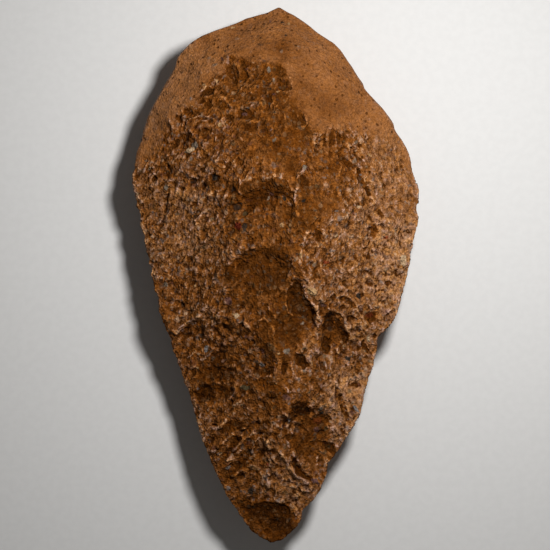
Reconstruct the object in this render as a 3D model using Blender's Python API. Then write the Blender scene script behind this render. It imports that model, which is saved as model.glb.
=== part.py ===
"""A knapped stone hand axe, lying on its flatter face, in metres with +Z up.

The long axis is Y, with the round butt at +Y and the tip at -Y. The margin is a thin edge about halfway
up. Each face starts as a smooth roof over that margin, and every blow takes a flake off it: the flakes in
UPPER_FLAKES and UNDER_FLAKES are the blows, and the ridges are simply where their hollows meet. The belly
is worn flat where the axe rests.
"""

import random
from dataclasses import dataclass
from enum import Enum

import bmesh
import bpy
import numpy as np

# The length drives everything: all other sizes are in millimetres of an axe 180 mm long.
LENGTH = 0.180
MM = LENGTH / 180

# The margin, the thin edge between the two faces.
EDGE_LEVEL = 18.3 * MM
EDGE_WAVE = 2.4 * MM
EDGE_FADE = 9.0 * MM
EDGE_RADIUS = 0.3 * MM
BUTT_RADIUS = 9.0 * MM
BUTT_START = 20.0 * MM
BUTT_FULL = 82.0 * MM

# How the two faces come down to the margin, and the depth of the belly between them.
UPPER_CONE = 1.1
UNDER_CONE = 1.0
CLOSING = 3.0
LEAST_RUN = 0.6 * MM
MOST_RUN = 1.5
ROUNDING = 7.0 * MM
ROUNDING_SAMPLES = 240
BELLY_DEPTH = 26.5 * MM
BELLY_CENTRE = 12.0 * MM
BELLY_REACH = (75.0 * MM, 135.0 * MM)

# How a blow shapes the stone.
RIDGE_WEAR = 0.6 * MM
WALL_POWER = 1.25
START_POWER = 0.8
FEATHER_FROM = 0.35
START_RAMP = 0.3
LEAST_SLOPE = 0.16
MARGIN_HOLD = 1.8
LUMP_DEPTH = 0.9 * MM
LUMPS_AFTER = 1.0 * MM

# Noise layers, each a pitch in millimetres, a weight and a seed.
EDGE_LAYERS = ((24, 1.0, 11), (11, 0.4, 12))
UPPER_LAYERS = ((9, 1.0, 3), (5, 0.7, 4))
UNDER_LAYERS = ((13, 1.0, 6), (7, 0.5, 7))
STRAY_X_LAYERS = ((17, 2.6, 58), (8, 1.5, 49), (4, 0.8, 45))
STRAY_Y_LAYERS = ((17, 2.6, 88), (8, 1.5, 79), (4, 0.8, 75))
LATTICE = 61
NOISE_GAIN = 1.5

# How finely the faces are worked out before the Decimate modifier thins them.
STATIONS = 230
ACROSS = 96
TRIANGLES = 9600
OUTLINE_STEPS = 10
CREST_STEPS = 40
WELD = 5e-6

STONE_COLOUR = (0.138, 0.051, 0.014, 1.0)
STONE_ROUGHNESS = 0.82

# The margin, down each side from the peak of the butt to the tip.
BUTT = (1.0, 90.0)
TIP = (-1.6, -90.0)
RIGHT_MARGIN = (
    (8.5, 85.6), (15.0, 80.6), (21.2, 76.0), (28.6, 64.8), (30.2, 61.9), (38.4, 52.4), (40.2, 48.4),
    (44.4, 41.5), (46.3, 33.5), (48.3, 27.6), (47.4, 22.4), (48.0, 18.6), (45.2, 6.5), (42.8, -5.6),
    (38.9, -16.0), (34.3, -21.2), (33.9, -26.0), (30.0, -38.0), (28.0, -47.0), (20.2, -59.8),
    (17.4, -63.2), (16.8, -67.4), (13.8, -74.0), (8.8, -79.4), (7.6, -83.2), (2.6, -88.2),
)
LEFT_MARGIN = (
    (-3.6, 88.0), (-9.5, 86.4), (-15.2, 83.8), (-25.6, 79.8), (-32.6, 73.8), (-34.6, 68.4),
    (-42.0, 55.6), (-46.0, 43.2), (-48.3, 32.4), (-46.4, 23.0), (-45.0, 15.0), (-41.2, -1.6),
    (-38.8, -13.0), (-37.0, -17.6), (-33.2, -28.6), (-28.6, -41.8), (-24.6, -55.4), (-18.6, -69.4),
    (-14.6, -77.4), (-7.2, -86.4),
)

# The upper face before any flaking: at each Y, the crest's X and its height above the margin, and how far
# the left and the right flanks reach from the Y axis.
CREST = (
    (-98, -1.0, 6.0, 17.0, 16.0),
    (-80, -0.5, 12.0, 21.0, 18.0),
    (-60, 0.5, 16.5, 31.0, 28.0),
    (-35, 3.0, 22.0, 38.5, 38.5),
    (-10, 6.5, 27.5, 46.5, 48.0),
    (15, 7.0, 32.0, 52.0, 54.0),
    (35, 6.0, 34.0, 55.0, 54.0),
    (55, 2.0, 33.0, 56.0, 54.0),
    (75, -1.0, 29.0, 58.0, 54.0),
    (98, -1.0, 21.0, 58.0, 54.0),
)
LEFT_POWER = 1.3
RIGHT_POWER = 1.7
CREST_ROUND = 0.16


class End(Enum):
    """How a flake came away from the stone: thinning out, or snapping off against a wall."""

    FEATHER = "feather"
    STEP = "step"


# How square a flake's hollow is across its run: 2 is a bowl, and more is a trough with a flat floor.
SECTION_POWER = {End.FEATHER: 2.0, End.STEP: 2.8}


@dataclass(frozen=True)
class Flake:
    """One blow's hollow, in millimetres: where it starts, the way it runs in degrees from +X, its size."""

    x: float
    y: float
    heading: float
    length: float
    width: float
    depth: float
    end: End = End.FEATHER
    wall: float = 7.0
    bend: float = 0.30


@dataclass(frozen=True)
class Trim:
    """A row of small flakes along one side of the margin, spread evenly from one Y to another."""

    side: str
    first: float
    last: float
    count: int
    seed: int


# Each small trimming flake strays from an even row by up to these amounts, or falls between them.
TRIM_SHIFT = 1.5
TRIM_LEAN = 25
TRIM_STRAY = 18
TRIM_LENGTH = (7, 13)
TRIM_WIDTH = (7, 12)
TRIM_DEPTH = (0.7, 1.5)

UPPER_FLAKES = (
    # The big removals off both flanks.
    Flake(-46, -10, 50, 66, 60, 2.8),
    Flake(27, 0, 103, 50, 28, 2.2, End.STEP, 4.0),
    Flake(56, 2, 176, 50, 34, 3.0),
    Flake(38, -45, 172, 19, 20, 2.6),
    Flake(38, -27, 168, 20, 16, 2.0),
    # The stack of steps that climbs the middle from the tip towards the butt.
    Flake(-2, 20, 101, 55, 44, 4.2, End.STEP, 8.0),
    Flake(-3.2, 1, 92, 32, 22, 6.5, End.STEP, 8.0, 0.16),
    Flake(-4, -22, 90, 36, 23, 7.5, End.STEP, 9.0, 0.08),
    Flake(8, -33, 98, 35, 15, 7.0, End.STEP, 10.0, 0.35),
    # Deep snaps low on each side, and the one that shortened the tip.
    Flake(19, -36, 86, 26, 12, 8.5, End.STEP, 8.0),
    Flake(-24, -54, 82, 42, 42, 8.0, End.STEP, 20.0, 0.15),
    Flake(-16, -78, 74, 32, 34, 6.0, End.STEP, 14.0),
    Flake(19, -64, 125, 26, 19, 7.0, End.STEP, 9.0),
    Flake(-2, -93, 90, 17, 19, 5.0, End.STEP, 7.0),
)
UPPER_TRIMS = (Trim("left", 24, -80, 13, 5), Trim("right", 14, -84, 12, 8))

UNDER_FLAKES = (
    Flake(54, 26, 186, 48, 38, 4.6),
    Flake(-54, 34, 352, 46, 36, 4.2),
    Flake(50, -4, 172, 44, 30, 4.8, End.STEP, 9.0),
    Flake(-50, 2, 10, 44, 34, 4.6),
    Flake(42, -30, 158, 38, 28, 4.2),
    Flake(-42, -28, 20, 38, 30, 4.4, End.STEP, 9.0),
    Flake(32, -58, 150, 30, 26, 3.6),
    Flake(-30, -58, 32, 30, 28, 3.4),
    Flake(6, -98, 96, 36, 18, 2.6),
    Flake(-4, 2, 84, 40, 26, 3.4, End.STEP, 8.0),
    Flake(3, -34, 96, 34, 20, 3.0, End.STEP, 8.0),
    Flake(44, 62, 214, 44, 34, 4.4, End.STEP, 8.0),
    Flake(-40, 76, 312, 42, 32, 3.8),
)
UNDER_TRIMS = (Trim("left", 40, -78, 12, 21), Trim("right", 40, -80, 12, 34))


def smooth_min(first, second, reach):
    """The lower of two heights, rounded over where they cross within reach."""
    near = np.maximum(reach - np.abs(first - second), 0.0) / reach
    return np.minimum(first, second) - near * near * reach / 4


def smooth_max(first, second, reach):
    """The higher of two heights, rounded over where they cross within reach."""
    return -smooth_min(-first, -second, reach)


def smooth_step(value, start, full):
    """How far a value has come from start to full, from 0 to 1, with no corner at either end."""
    share = np.clip((value - start) / (full - start), 0, 1)
    return share * share * (3 - 2 * share)


def spline(points, steps):
    """A Catmull-Rom curve through the points, as an array with steps to each span."""
    points = np.array(points)
    padded = np.vstack([2 * points[0] - points[1], points, 2 * points[-1] - points[-2]])
    curve = []
    for before, start, end, after in zip(padded, padded[1:], padded[2:], padded[3:]):
        for part in np.arange(steps) / steps:
            bend = 2 * before - 5 * start + 4 * end - after
            twist = 3 * (start - end) + after - before
            curve.append(start + part * (end - before + part * (bend + part * twist)) / 2)
    curve.append(points[-1])
    return np.array(curve)


def evenly(curve, count):
    """The curve again, as count points at equal distances along it."""
    reach = np.concatenate([[0.0], np.cumsum(np.hypot(*np.diff(curve, axis=0).T))])
    wanted = np.linspace(0.0, reach[-1], count)
    return np.column_stack([np.interp(wanted, reach, curve[:, axis]) for axis in (0, 1)])


class Margin:
    """The axe's outline seen from above, in metres, centred on the origin."""

    def __init__(self):
        self.right = spline((BUTT,) + RIGHT_MARGIN + (TIP,), OUTLINE_STEPS) * MM
        self.left = spline((BUTT,) + LEFT_MARGIN + (TIP,), OUTLINE_STEPS) * MM
        both = np.vstack([self.right, self.left])
        centre = (both.min(axis=0) + both.max(axis=0)) / 2
        self.right -= centre
        self.left -= centre

    def loop(self):
        """The whole outline as one closed run of points."""
        return np.vstack([self.right, self.left[::-1]])

    def distance(self, x, y):
        """How far each place is from the nearest point of the margin."""
        loop = self.loop()
        nearest = np.full(np.shape(x), np.inf)
        for start, end in zip(loop, loop[1:]):
            run = end - start
            squared = max(run @ run, 1e-18)
            along = np.clip(((x - start[0]) * run[0] + (y - start[1]) * run[1]) / squared, 0, 1)
            away = np.hypot(x - start[0] - along * run[0], y - start[1] - along * run[1])
            nearest = np.minimum(nearest, away)
        return nearest

    def rounded_distance(self, x, y):
        """The distance again, with no crease where two stretches of margin are equally near."""
        loop = evenly(self.loop(), ROUNDING_SAMPLES)
        spacing = np.hypot(*(loop[1] - loop[0]))
        pull = np.zeros(np.shape(x))
        for place in loop[:-1]:
            pull += np.exp(-np.hypot(x - place[0], y - place[1]) / ROUNDING)
        return np.maximum(-ROUNDING * np.log(pull * spacing / (2 * ROUNDING)), 0.0)


def lattice_noise(x, y, pitch, seed):
    """Gradient noise over the plan, from about -1 to 1, with lumps about pitch millimetres across."""
    turns = np.random.default_rng(seed).random((LATTICE, LATTICE)) * 2 * np.pi
    across, along = x / (pitch * MM), y / (pitch * MM)
    column, row = np.floor(across).astype(int), np.floor(along).astype(int)
    part_x, part_y = across - column, along - row
    ease_x, ease_y = (part**3 * (part * (part * 6 - 15) + 10) for part in (part_x, part_y))
    total = np.zeros(np.shape(x))
    for step_x in (0, 1):
        for step_y in (0, 1):
            turn = turns[(column + step_x) % LATTICE, (row + step_y) % LATTICE]
            slope = (part_x - step_x) * np.cos(turn) + (part_y - step_y) * np.sin(turn)
            share = (ease_x if step_x else 1 - ease_x) * (ease_y if step_y else 1 - ease_y)
            total += slope * share
    return total * NOISE_GAIN


def layered(x, y, layers):
    """Several layers of noise added together."""
    return sum(weight * lattice_noise(x, y, pitch, seed) for pitch, weight, seed in layers)


def edge_level(x, y, inset):
    """The height of the wavy margin, its waves dying away inwards."""
    return EDGE_LEVEL + EDGE_WAVE * layered(x, y, EDGE_LAYERS) * np.exp(-((inset / EDGE_FADE) ** 2))


def flake_depth(flake, x, y):
    """How much one flake takes off the roof at each place."""
    turn = np.radians(flake.heading)
    away_x = x / MM - flake.x
    away_y = y / MM - flake.y
    along = (away_x * np.cos(turn) + away_y * np.sin(turn)) / flake.length
    across = (away_y * np.cos(turn) - away_x * np.sin(turn)) / (flake.width / 2)
    section = np.maximum(1 - np.abs(across) ** SECTION_POWER[flake.end], 0.0)
    if flake.end is End.STEP:
        to_wall = (1 - along - flake.bend * across**2) * flake.length
        wall = np.clip(to_wall / flake.wall, 0, 1)
        profile = (1 - (1 - wall) ** WALL_POWER) * np.clip(along, 0, 1) ** START_POWER
    else:
        fade = np.maximum((along - FEATHER_FROM) / (1 - FEATHER_FROM), 0)
        profile = np.maximum(1 - fade**2, 0) * np.clip(1 + along / START_RAMP, 0, 1)
    return flake.depth * MM * section * profile


def trimmed(margin, trim):
    """The small flakes of one trimmed stretch of margin."""
    side = getattr(margin, trim.side)
    inwards, lean = (180, -TRIM_LEAN) if trim.side == "right" else (0, TRIM_LEAN)
    dice = random.Random(trim.seed)
    flakes = []
    for place in np.linspace(trim.first, trim.last, trim.count):
        y = place + dice.uniform(-TRIM_SHIFT, TRIM_SHIFT)
        x = np.interp(y * MM, side[::-1, 1], side[::-1, 0]) / MM
        heading = inwards + lean + dice.uniform(-TRIM_STRAY, TRIM_STRAY)
        size = [dice.uniform(*span) for span in (TRIM_LENGTH, TRIM_WIDTH, TRIM_DEPTH)]
        flakes.append(Flake(x, y, heading, *size))
    return flakes


def taken_off(margin, flakes, trims, x, y):
    """The depth that all the flakes together leave, with the ridges between them worn round."""
    x, y = x + layered(x, y, STRAY_X_LAYERS) * MM, y + layered(x, y, STRAY_Y_LAYERS) * MM
    every = list(flakes)
    for trim in trims:
        every += trimmed(margin, trim)
    depth = np.zeros(np.shape(x))
    for flake in every:
        depth = smooth_max(depth, flake_depth(flake, x, y), RIDGE_WEAR)
    return depth - RIDGE_WEAR / 4


def closed_down(face, cone, margin, x, y, inset):
    """A face's height brought smoothly down to nothing at the margin, bluntly round the butt."""
    radius = EDGE_RADIUS + BUTT_RADIUS * smooth_step(y, BUTT_START, BUTT_FULL)
    run = np.minimum(margin.rounded_distance(x, y) + LEAST_RUN, MOST_RUN * inset)
    rise = cone * np.sqrt(run * (run + 2 * radius)) + 1e-7
    return (np.maximum(face, 1e-5) ** -CLOSING + rise**-CLOSING) ** (-1 / CLOSING)


def worked(roof, depth, inset):
    """What is left of the roof once the flakes are off it, always standing clear of the margin's level."""
    roof = np.maximum(roof, LEAST_SLOPE * inset) + 1e-6
    held = roof**2 / (roof**2 + (MARGIN_HOLD * np.maximum(depth, 0)) ** 2)
    return roof - depth * held


def flank_drop(across, power):
    """How far a flank has dropped, from 0 on the rounded crest to 1 at the margin."""
    crown = CREST_ROUND**power
    drop = (across**2 + CREST_ROUND**2) ** (power / 2) - crown
    return drop / ((1 + CREST_ROUND**2) ** (power / 2) - crown)


def upper_height(margin, x, y):
    """The height of the upper face at each place."""
    inset = margin.distance(x, y)
    crest = spline(CREST, CREST_STEPS) * MM
    crest_x, height, left, right = (np.interp(y, crest[:, 0], crest[:, column]) for column in (1, 2, 3, 4))
    flank = height * np.where(
        x > crest_x,
        1 - flank_drop((x - crest_x) / (right - crest_x), RIGHT_POWER),
        1 - flank_drop((crest_x - x) / (left + crest_x), LEFT_POWER),
    )
    roof = closed_down(flank, UPPER_CONE, margin, x, y, inset)
    depth = taken_off(margin, UPPER_FLAKES, UPPER_TRIMS, x, y)
    lumps = LUMP_DEPTH * layered(x, y, UPPER_LAYERS)
    depth += lumps * np.clip(depth / LUMPS_AFTER, 0, 1)
    return edge_level(x, y, inset) + worked(roof, depth, inset)


def under_height(margin, x, y):
    """The height of the under face at each place."""
    inset = margin.distance(x, y)
    reach_x, reach_y = BELLY_REACH
    belly = BELLY_DEPTH * (1 - (x / reach_x) ** 2 - ((y - BELLY_CENTRE) / reach_y) ** 2)
    roof = closed_down(belly, UNDER_CONE, margin, x, y, inset)
    depth = taken_off(margin, UNDER_FLAKES, UNDER_TRIMS, x, y)
    depth += LUMP_DEPTH * layered(x, y, UNDER_LAYERS)
    return edge_level(x, y, inset) - worked(roof, depth, inset)


def plan_grid(margin):
    """The plan as rows of places from the tip to the butt, each running from the left margin to the right."""
    left = evenly(margin.left, STATIONS + 1)[::-1]
    right = evenly(margin.right, STATIONS + 1)[::-1]
    share = np.linspace(0, 1, ACROSS + 1)[:, None]
    return np.array([start + share * (end - start) for start, end in zip(left, right)])


def stone_mesh():
    """Both faces as one closed mesh, welded along the margin."""
    margin = Margin()
    grid = plan_grid(margin)
    x, y = grid[..., 0], grid[..., 1]
    inside = np.zeros(x.shape, bool)
    inside[1:-1, 1:-1] = True
    level = edge_level(x, y, 0.0)
    shape = bmesh.new()
    for height_of, faces_up in ((upper_height, True), (under_height, False)):
        height = np.where(inside, height_of(margin, x, y), level)
        places = np.dstack([x, y, height]).reshape(-1, 3)
        sheet = bmesh.ops.create_grid(shape, x_segments=ACROSS, y_segments=STATIONS, size=LENGTH)
        for vert, place in zip(sheet["verts"], places):
            vert.co = place
        if not faces_up:
            faces = {face for vert in sheet["verts"] for face in vert.link_faces}
            bmesh.ops.reverse_faces(shape, faces=list(faces))
    bmesh.ops.remove_doubles(shape, verts=shape.verts, dist=WELD)
    bmesh.ops.triangulate(shape, faces=shape.faces)
    mesh = bpy.data.meshes.new("hand_axe")
    shape.to_mesh(mesh)
    shape.free()
    return mesh


def stone_material():
    """Iron-stained orange-brown stone, matt all over."""
    material = bpy.data.materials.new("iron_stained_stone")
    material.use_nodes = True
    shader = material.node_tree.nodes["Principled BSDF"]
    shader.inputs["Base Color"].default_value = STONE_COLOUR
    shader.inputs["Roughness"].default_value = STONE_ROUGHNESS
    shader.inputs["Metallic"].default_value = 0.0
    return material


def rest_cutter():
    """A block under the ground whose top takes the belly off flat, where the axe rests."""
    shape = bmesh.new()
    bmesh.ops.create_cube(shape, size=1.0)
    bmesh.ops.scale(shape, vec=(LENGTH, 1.5 * LENGTH, EDGE_LEVEL), verts=shape.verts)
    bmesh.ops.translate(shape, vec=(0, 0, -EDGE_LEVEL / 2), verts=shape.verts)
    mesh = bpy.data.meshes.new("rest_cutter")
    shape.to_mesh(mesh)
    shape.free()
    cutter = bpy.data.objects.new("rest_cutter", mesh)
    cutter.display_type = "WIRE"
    cutter.hide_render = True
    bpy.context.collection.objects.link(cutter)
    return cutter


def hand_axe():
    """The axe, thinned to its triangle budget and cut flat where it lies."""
    mesh = stone_mesh()
    axe = bpy.data.objects.new("hand_axe", mesh)
    bpy.context.collection.objects.link(axe)
    mesh.materials.append(stone_material())
    thin = axe.modifiers.new("thin_out", "DECIMATE")
    thin.ratio = TRIANGLES / len(mesh.polygons)
    flatten = axe.modifiers.new("resting_flat", "BOOLEAN")
    flatten.operation = "DIFFERENCE"
    flatten.solver = "EXACT"
    flatten.object = rest_cutter()
    return axe


def main():
    """Clear the scene and make the axe in it."""
    for thing in list(bpy.data.objects):
        bpy.data.objects.remove(thing, do_unlink=True)
    hand_axe()


if __name__ == "__main__":
    main()
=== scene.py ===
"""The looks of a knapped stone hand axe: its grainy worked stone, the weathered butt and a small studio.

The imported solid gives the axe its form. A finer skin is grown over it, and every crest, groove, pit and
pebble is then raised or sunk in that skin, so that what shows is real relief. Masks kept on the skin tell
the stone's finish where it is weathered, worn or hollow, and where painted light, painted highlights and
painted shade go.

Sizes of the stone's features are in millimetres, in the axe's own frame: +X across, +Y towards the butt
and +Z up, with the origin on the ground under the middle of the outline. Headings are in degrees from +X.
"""

import logging
import math
from collections.abc import Iterator
from dataclasses import dataclass, field
from enum import Enum

import bmesh
import bpy
import numpy as np
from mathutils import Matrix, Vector, noise

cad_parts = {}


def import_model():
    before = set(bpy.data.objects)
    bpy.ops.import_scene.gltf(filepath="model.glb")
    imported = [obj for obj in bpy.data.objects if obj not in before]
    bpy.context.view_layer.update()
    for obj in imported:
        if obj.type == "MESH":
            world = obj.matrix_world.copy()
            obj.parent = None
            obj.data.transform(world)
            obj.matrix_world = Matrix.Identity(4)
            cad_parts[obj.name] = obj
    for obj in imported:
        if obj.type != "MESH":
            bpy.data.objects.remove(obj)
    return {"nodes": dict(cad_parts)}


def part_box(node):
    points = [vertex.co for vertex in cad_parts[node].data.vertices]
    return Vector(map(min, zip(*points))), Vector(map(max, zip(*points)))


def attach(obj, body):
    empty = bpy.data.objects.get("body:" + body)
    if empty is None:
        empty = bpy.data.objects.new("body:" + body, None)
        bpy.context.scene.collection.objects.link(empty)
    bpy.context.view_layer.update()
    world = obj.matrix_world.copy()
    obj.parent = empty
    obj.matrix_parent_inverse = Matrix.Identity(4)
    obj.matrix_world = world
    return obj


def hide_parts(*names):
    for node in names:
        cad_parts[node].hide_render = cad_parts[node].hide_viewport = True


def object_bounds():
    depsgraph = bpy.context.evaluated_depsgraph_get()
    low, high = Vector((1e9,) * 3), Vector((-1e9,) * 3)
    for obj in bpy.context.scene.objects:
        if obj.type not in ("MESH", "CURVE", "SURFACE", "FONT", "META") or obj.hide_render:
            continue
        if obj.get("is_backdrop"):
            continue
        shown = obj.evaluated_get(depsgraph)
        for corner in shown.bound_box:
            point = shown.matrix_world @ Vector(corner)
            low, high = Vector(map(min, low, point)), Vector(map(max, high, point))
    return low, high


LOG = logging.getLogger("hand_axe")
MM = 0.001

Colour = tuple[float, float, float]
Point = tuple[float, float]
Span = tuple[float, float]

# How far each seed moves a pattern, in pitches, and the factors that turn a cell's middle into its lot.
LUMP_STEP = 17.31
GRAIN_STEP = 11.7
FACET_STEP = 7.3
GRAIN_LOT = (12.9898, 78.233, 37.719)
GRAIN_LOT_SPREAD = 43758.5453
FACET_LOT = ((12.99, 39.35, 73.16), (78.23, 11.14, 52.24), (37.72, 83.16, 9.15))
FACET_LOT_SPREAD = 437.585


# --- Noise and shapes over the stone -------------------------------------------------------------------


def rotated(plan: np.ndarray, heading: float) -> tuple[np.ndarray, np.ndarray]:
    """How each place lies to a heading.

    Args:
        plan: X and Y of each place.
        heading: The heading, in degrees from +X.

    Returns:
        How far each place is along the heading, and how far across it.
    """
    turn = math.radians(heading)
    along = plan[:, 0] * math.cos(turn) + plan[:, 1] * math.sin(turn)
    across = plan[:, 1] * math.cos(turn) - plan[:, 0] * math.sin(turn)
    return along, across


@dataclass(frozen=True)
class Lay:
    """How a pattern lies over the stone: its pitch, its seed, and how far it is drawn out along a heading."""

    pitch: float
    seed: int
    heading: float = 0.0
    stretch: float = 1.0

    def over(self, places: np.ndarray, step: float) -> np.ndarray:
        """The places in pitches of the pattern.

        Args:
            places: Places in millimetres, one row each.
            step: How far each seed moves the pattern, in pitches.

        Returns:
            New places, squeezed along the heading so that a pattern over them comes out drawn along it.
        """
        along, across = rotated(places, self.heading)
        return np.column_stack([along / self.stretch, across, places[:, 2]]) / self.pitch + step * self.seed


def lumps(places: np.ndarray, lay: Lay) -> np.ndarray:
    """Soft random lumps through space, from about -1 to 1."""
    return np.array([noise.noise(place) for place in lay.over(places, LUMP_STEP).tolist()]) * 1.6


def creases(places: np.ndarray, lay: Lay) -> np.ndarray:
    """A net of thin sharp crests with broad hollows between, from about -1 up to 1 on the crests."""
    return 1 - 2.6 * np.abs(lumps(places, lay))


def strays(places: np.ndarray, pitch: float, seeds: tuple[int, ...], reach: float) -> np.ndarray:
    """How far soft noise moves each place.

    Args:
        places: Places in millimetres, one row each.
        pitch: Millimetres from one lump of the noise to the next.
        seeds: Picks the noise for each direction.
        reach: About the furthest a place moves, in millimetres.

    Returns:
        One row for each place, with one column for each seed.
    """
    return reach * np.column_stack([lumps(places, Lay(pitch, seed)) for seed in seeds])


def cells(places: np.ndarray) -> tuple[np.ndarray, np.ndarray, list[Vector]]:
    """The random cells through space that the places lie in.

    Args:
        places: Places in pitches, one row each.

    Returns:
        For each place, how far it is from its cell's middle, how much further the next cell's middle is,
        and where its own cell's middle is.
    """
    near, gap, middles = [], [], []
    for place in places.tolist():
        distances, points = noise.voronoi(place)
        near.append(distances[0])
        gap.append(distances[1] - distances[0])
        middles.append(points[0])
    return np.array(near), np.array(gap), middles


def grains(places: np.ndarray, lay: Lay) -> tuple[np.ndarray, np.ndarray, np.ndarray]:
    """Random packed grains through space.

    Args:
        places: Places in millimetres, one row each.
        lay: How the grains lie.

    Returns:
        For each place, how far it is from the nearest grain's middle and how much further the next grain
        is, both in pitches, and a random number from 0 to 1 that belongs to the grain.
    """
    near, gap, middles = cells(lay.over(places, GRAIN_STEP))
    lot = np.sin(np.array([middle.dot(GRAIN_LOT) for middle in middles])) * GRAIN_LOT_SPREAD
    return near, gap, lot - np.floor(lot)


def facets(places: np.ndarray, lay: Lay) -> np.ndarray:
    """Random flat facets through space, each tilted its own way, as where brittle stone has snapped.

    Args:
        places: Places in millimetres, one row each.
        lay: How the facets lie.

    Returns:
        A height for each place, from about -1 to 1, brought to one level along the facets' borders.
    """
    shifted = lay.over(places, FACET_STEP)
    _, gap, middles = cells(shifted)
    middles = np.array([middle[:] for middle in middles])
    lots = np.sin(middles @ np.array(FACET_LOT) + lay.seed) * FACET_LOT_SPREAD
    tilts = 2 * (lots - np.floor(lots)) - 1
    height = 1.5 * (tilts * (shifted - middles)).sum(axis=1) + 0.35 * tilts[:, 0]
    return height * np.clip(gap / 0.12, 0, 1)


def eased(value: np.ndarray, start: float, full: float) -> np.ndarray:
    """How far a value has come from start to full, from 0 to 1, with no corner at either end."""
    share = np.clip((value - start) / (full - start), 0, 1)
    return share * share * (3 - 2 * share)


def smooth_line(points: tuple[Point, ...], steps: int = 5) -> np.ndarray:
    """A smooth open line through a few points.

    Args:
        points: The points, from one end to the other.
        steps: How many pieces each span between two points has.

    Returns:
        The line's own points.
    """
    spots = np.array(points, float)
    ends = np.vstack([2 * spots[0] - spots[1], spots, 2 * spots[-1] - spots[-2]])
    line = []
    for before, start, end, after in zip(ends, ends[1:], ends[2:], ends[3:]):
        for part in np.arange(steps) / steps:
            bend = 2 * before - 5 * start + 4 * end - after
            twist = 3 * (start - end) + after - before
            line.append(start + part * (end - before + part * (bend + part * twist)) / 2)
    return np.array(line + [spots[-1]])


def from_line(plan: np.ndarray, line: np.ndarray) -> tuple[np.ndarray, np.ndarray]:
    """Where each place lies against a line.

    Args:
        plan: X and Y of each place.
        line: The line's points.

    Returns:
        For each place, the distance to the line, positive on its left-hand side, and how far along the
        line the nearest spot is, from 0 to 1.
    """
    best = np.full(len(plan), np.inf)
    side = np.ones(len(plan))
    reach = np.zeros(len(plan))
    spans = len(line) - 1
    for index, (start, end) in enumerate(zip(line, line[1:])):
        run = end - start
        away = plan - start
        along = np.clip(away @ run / max(run @ run, 1e-12), 0, 1)
        distance = np.hypot(*(away - along[:, None] * run).T)
        nearer = distance < best
        best[nearer] = distance[nearer]
        side[nearer] = np.sign(run[0] * away[nearer, 1] - run[1] * away[nearer, 0])
        reach[nearer] = (index + along[nearer]) / spans
    return best * np.where(side < 0, -1, 1), reach


def near_box(plan: np.ndarray, points: tuple[Point, ...], margin: float) -> np.ndarray:
    """Which places lie in the box round some points, grown by a margin."""
    spots = np.array(points, float)
    low, high = spots.min(axis=0) - margin, spots.max(axis=0) + margin
    return np.flatnonzero(((plan >= low) & (plan <= high)).all(axis=1))


def inside(plan: np.ndarray, corners: tuple[Point, ...], blur: float) -> np.ndarray:
    """How far inside a patch each place is.

    Args:
        plan: X and Y of each place.
        corners: The patch's corners, either way round.
        blur: Millimetres over which its edge fades, half of them outside.

    Returns:
        1 inside, 0 outside, and between the two across the edge.
    """
    ring = np.array(corners + corners[:1], float)
    near = near_box(plan, corners, blur)
    distance = np.abs(from_line(plan[near], ring)[0])
    x, y = plan[near].T
    crossings = np.zeros(len(near), int)
    for start, end in zip(ring, ring[1:]):
        spans = (start[1] > y) != (end[1] > y)
        rise = end[1] - start[1] or 1e-12
        crossings += spans & (x < (end[0] - start[0]) * (y - start[1]) / rise + start[0])
    signed = np.where(crossings % 2, distance, -distance)
    share = np.zeros(len(plan))
    share[near] = eased(signed, -blur / 2, blur / 2)
    return share


# --- What can be seen on the upper face ----------------------------------------------------------------


class Form(Enum):
    """The kinds of small relief on the worked face."""

    RIDGE = "ridge"
    GROOVE = "groove"
    SCARP = "scarp"


@dataclass(frozen=True)
class Line:
    """A ridge, groove or little scarp that runs along a line; a scarp falls away on its right-hand side.

    A ridge's crest is worn pale and given a painted highlight, by a share from 0 to 1.
    """

    form: Form
    points: tuple[Point, ...]
    height: float
    width: float
    pale: float


@dataclass(frozen=True)
class Patch:
    """A patch of the face, faded at its edge, and how strongly something holds in it."""

    corners: tuple[Point, ...]
    fade: float
    shift: float


@dataclass(frozen=True)
class Spot:
    """A soft round place that is paler, or below 0 darker, than the stone about it: stain and bleaching of
    the stone, and painted light and painted shade.
    """

    x: float
    y: float
    reach: float
    shift: float


@dataclass(frozen=True)
class Hollow:
    """A hollow of no even shape: its corners, its depth, and how dark it is painted, with iron stain and
    painted shade.
    """

    corners: tuple[Point, ...]
    depth: float
    stain_and_shade: float = 0.6


@dataclass(frozen=True)
class Oval:
    """An oval place on the face: its middle, its length and width, and the way it lies."""

    x: float
    y: float
    length: float
    width: float
    heading: float

    def offsets(self, plan: np.ndarray) -> tuple[np.ndarray, np.ndarray]:
        """How far each place is from the middle, along the oval and across it."""
        return rotated(plan - (self.x, self.y), self.heading)

    def bump(self, plan: np.ndarray) -> np.ndarray:
        """A round bump over the oval.

        Args:
            plan: X and Y of each place.

        Returns:
            1 at the oval's middle, falling to 0 outside it.
        """
        bump = np.zeros(len(plan))
        near = near_box(plan, ((self.x, self.y),), self.length + self.width)
        along, across = self.offsets(plan[near])
        away = (along / (self.length / 2)) ** 2 + (across / (self.width / 2)) ** 2
        bump[near] = 1 - eased(away, 0.25, 1.35)
        return bump


@dataclass(frozen=True)
class Pit(Oval):
    """An oval pit in the face, of one depth."""

    depth: float


@dataclass(frozen=True)
class Swell(Oval):
    """A broad soft swell of the face, or below 0 a dip, whose length and width are its reach each way."""

    rise: float


@dataclass(frozen=True)
class Pebble(Oval):
    """A pebble or coarse grain showing in the stone, of one colour, standing a little proud."""

    colour: Colour
    strength: float = 0.9
    proud: float = 0.12


def pairs(numbers: tuple[float, ...]) -> tuple[Point, ...]:
    """Points from the X and Y of each in turn."""
    return tuple(zip(numbers[::2], numbers[1::2]))


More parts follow.
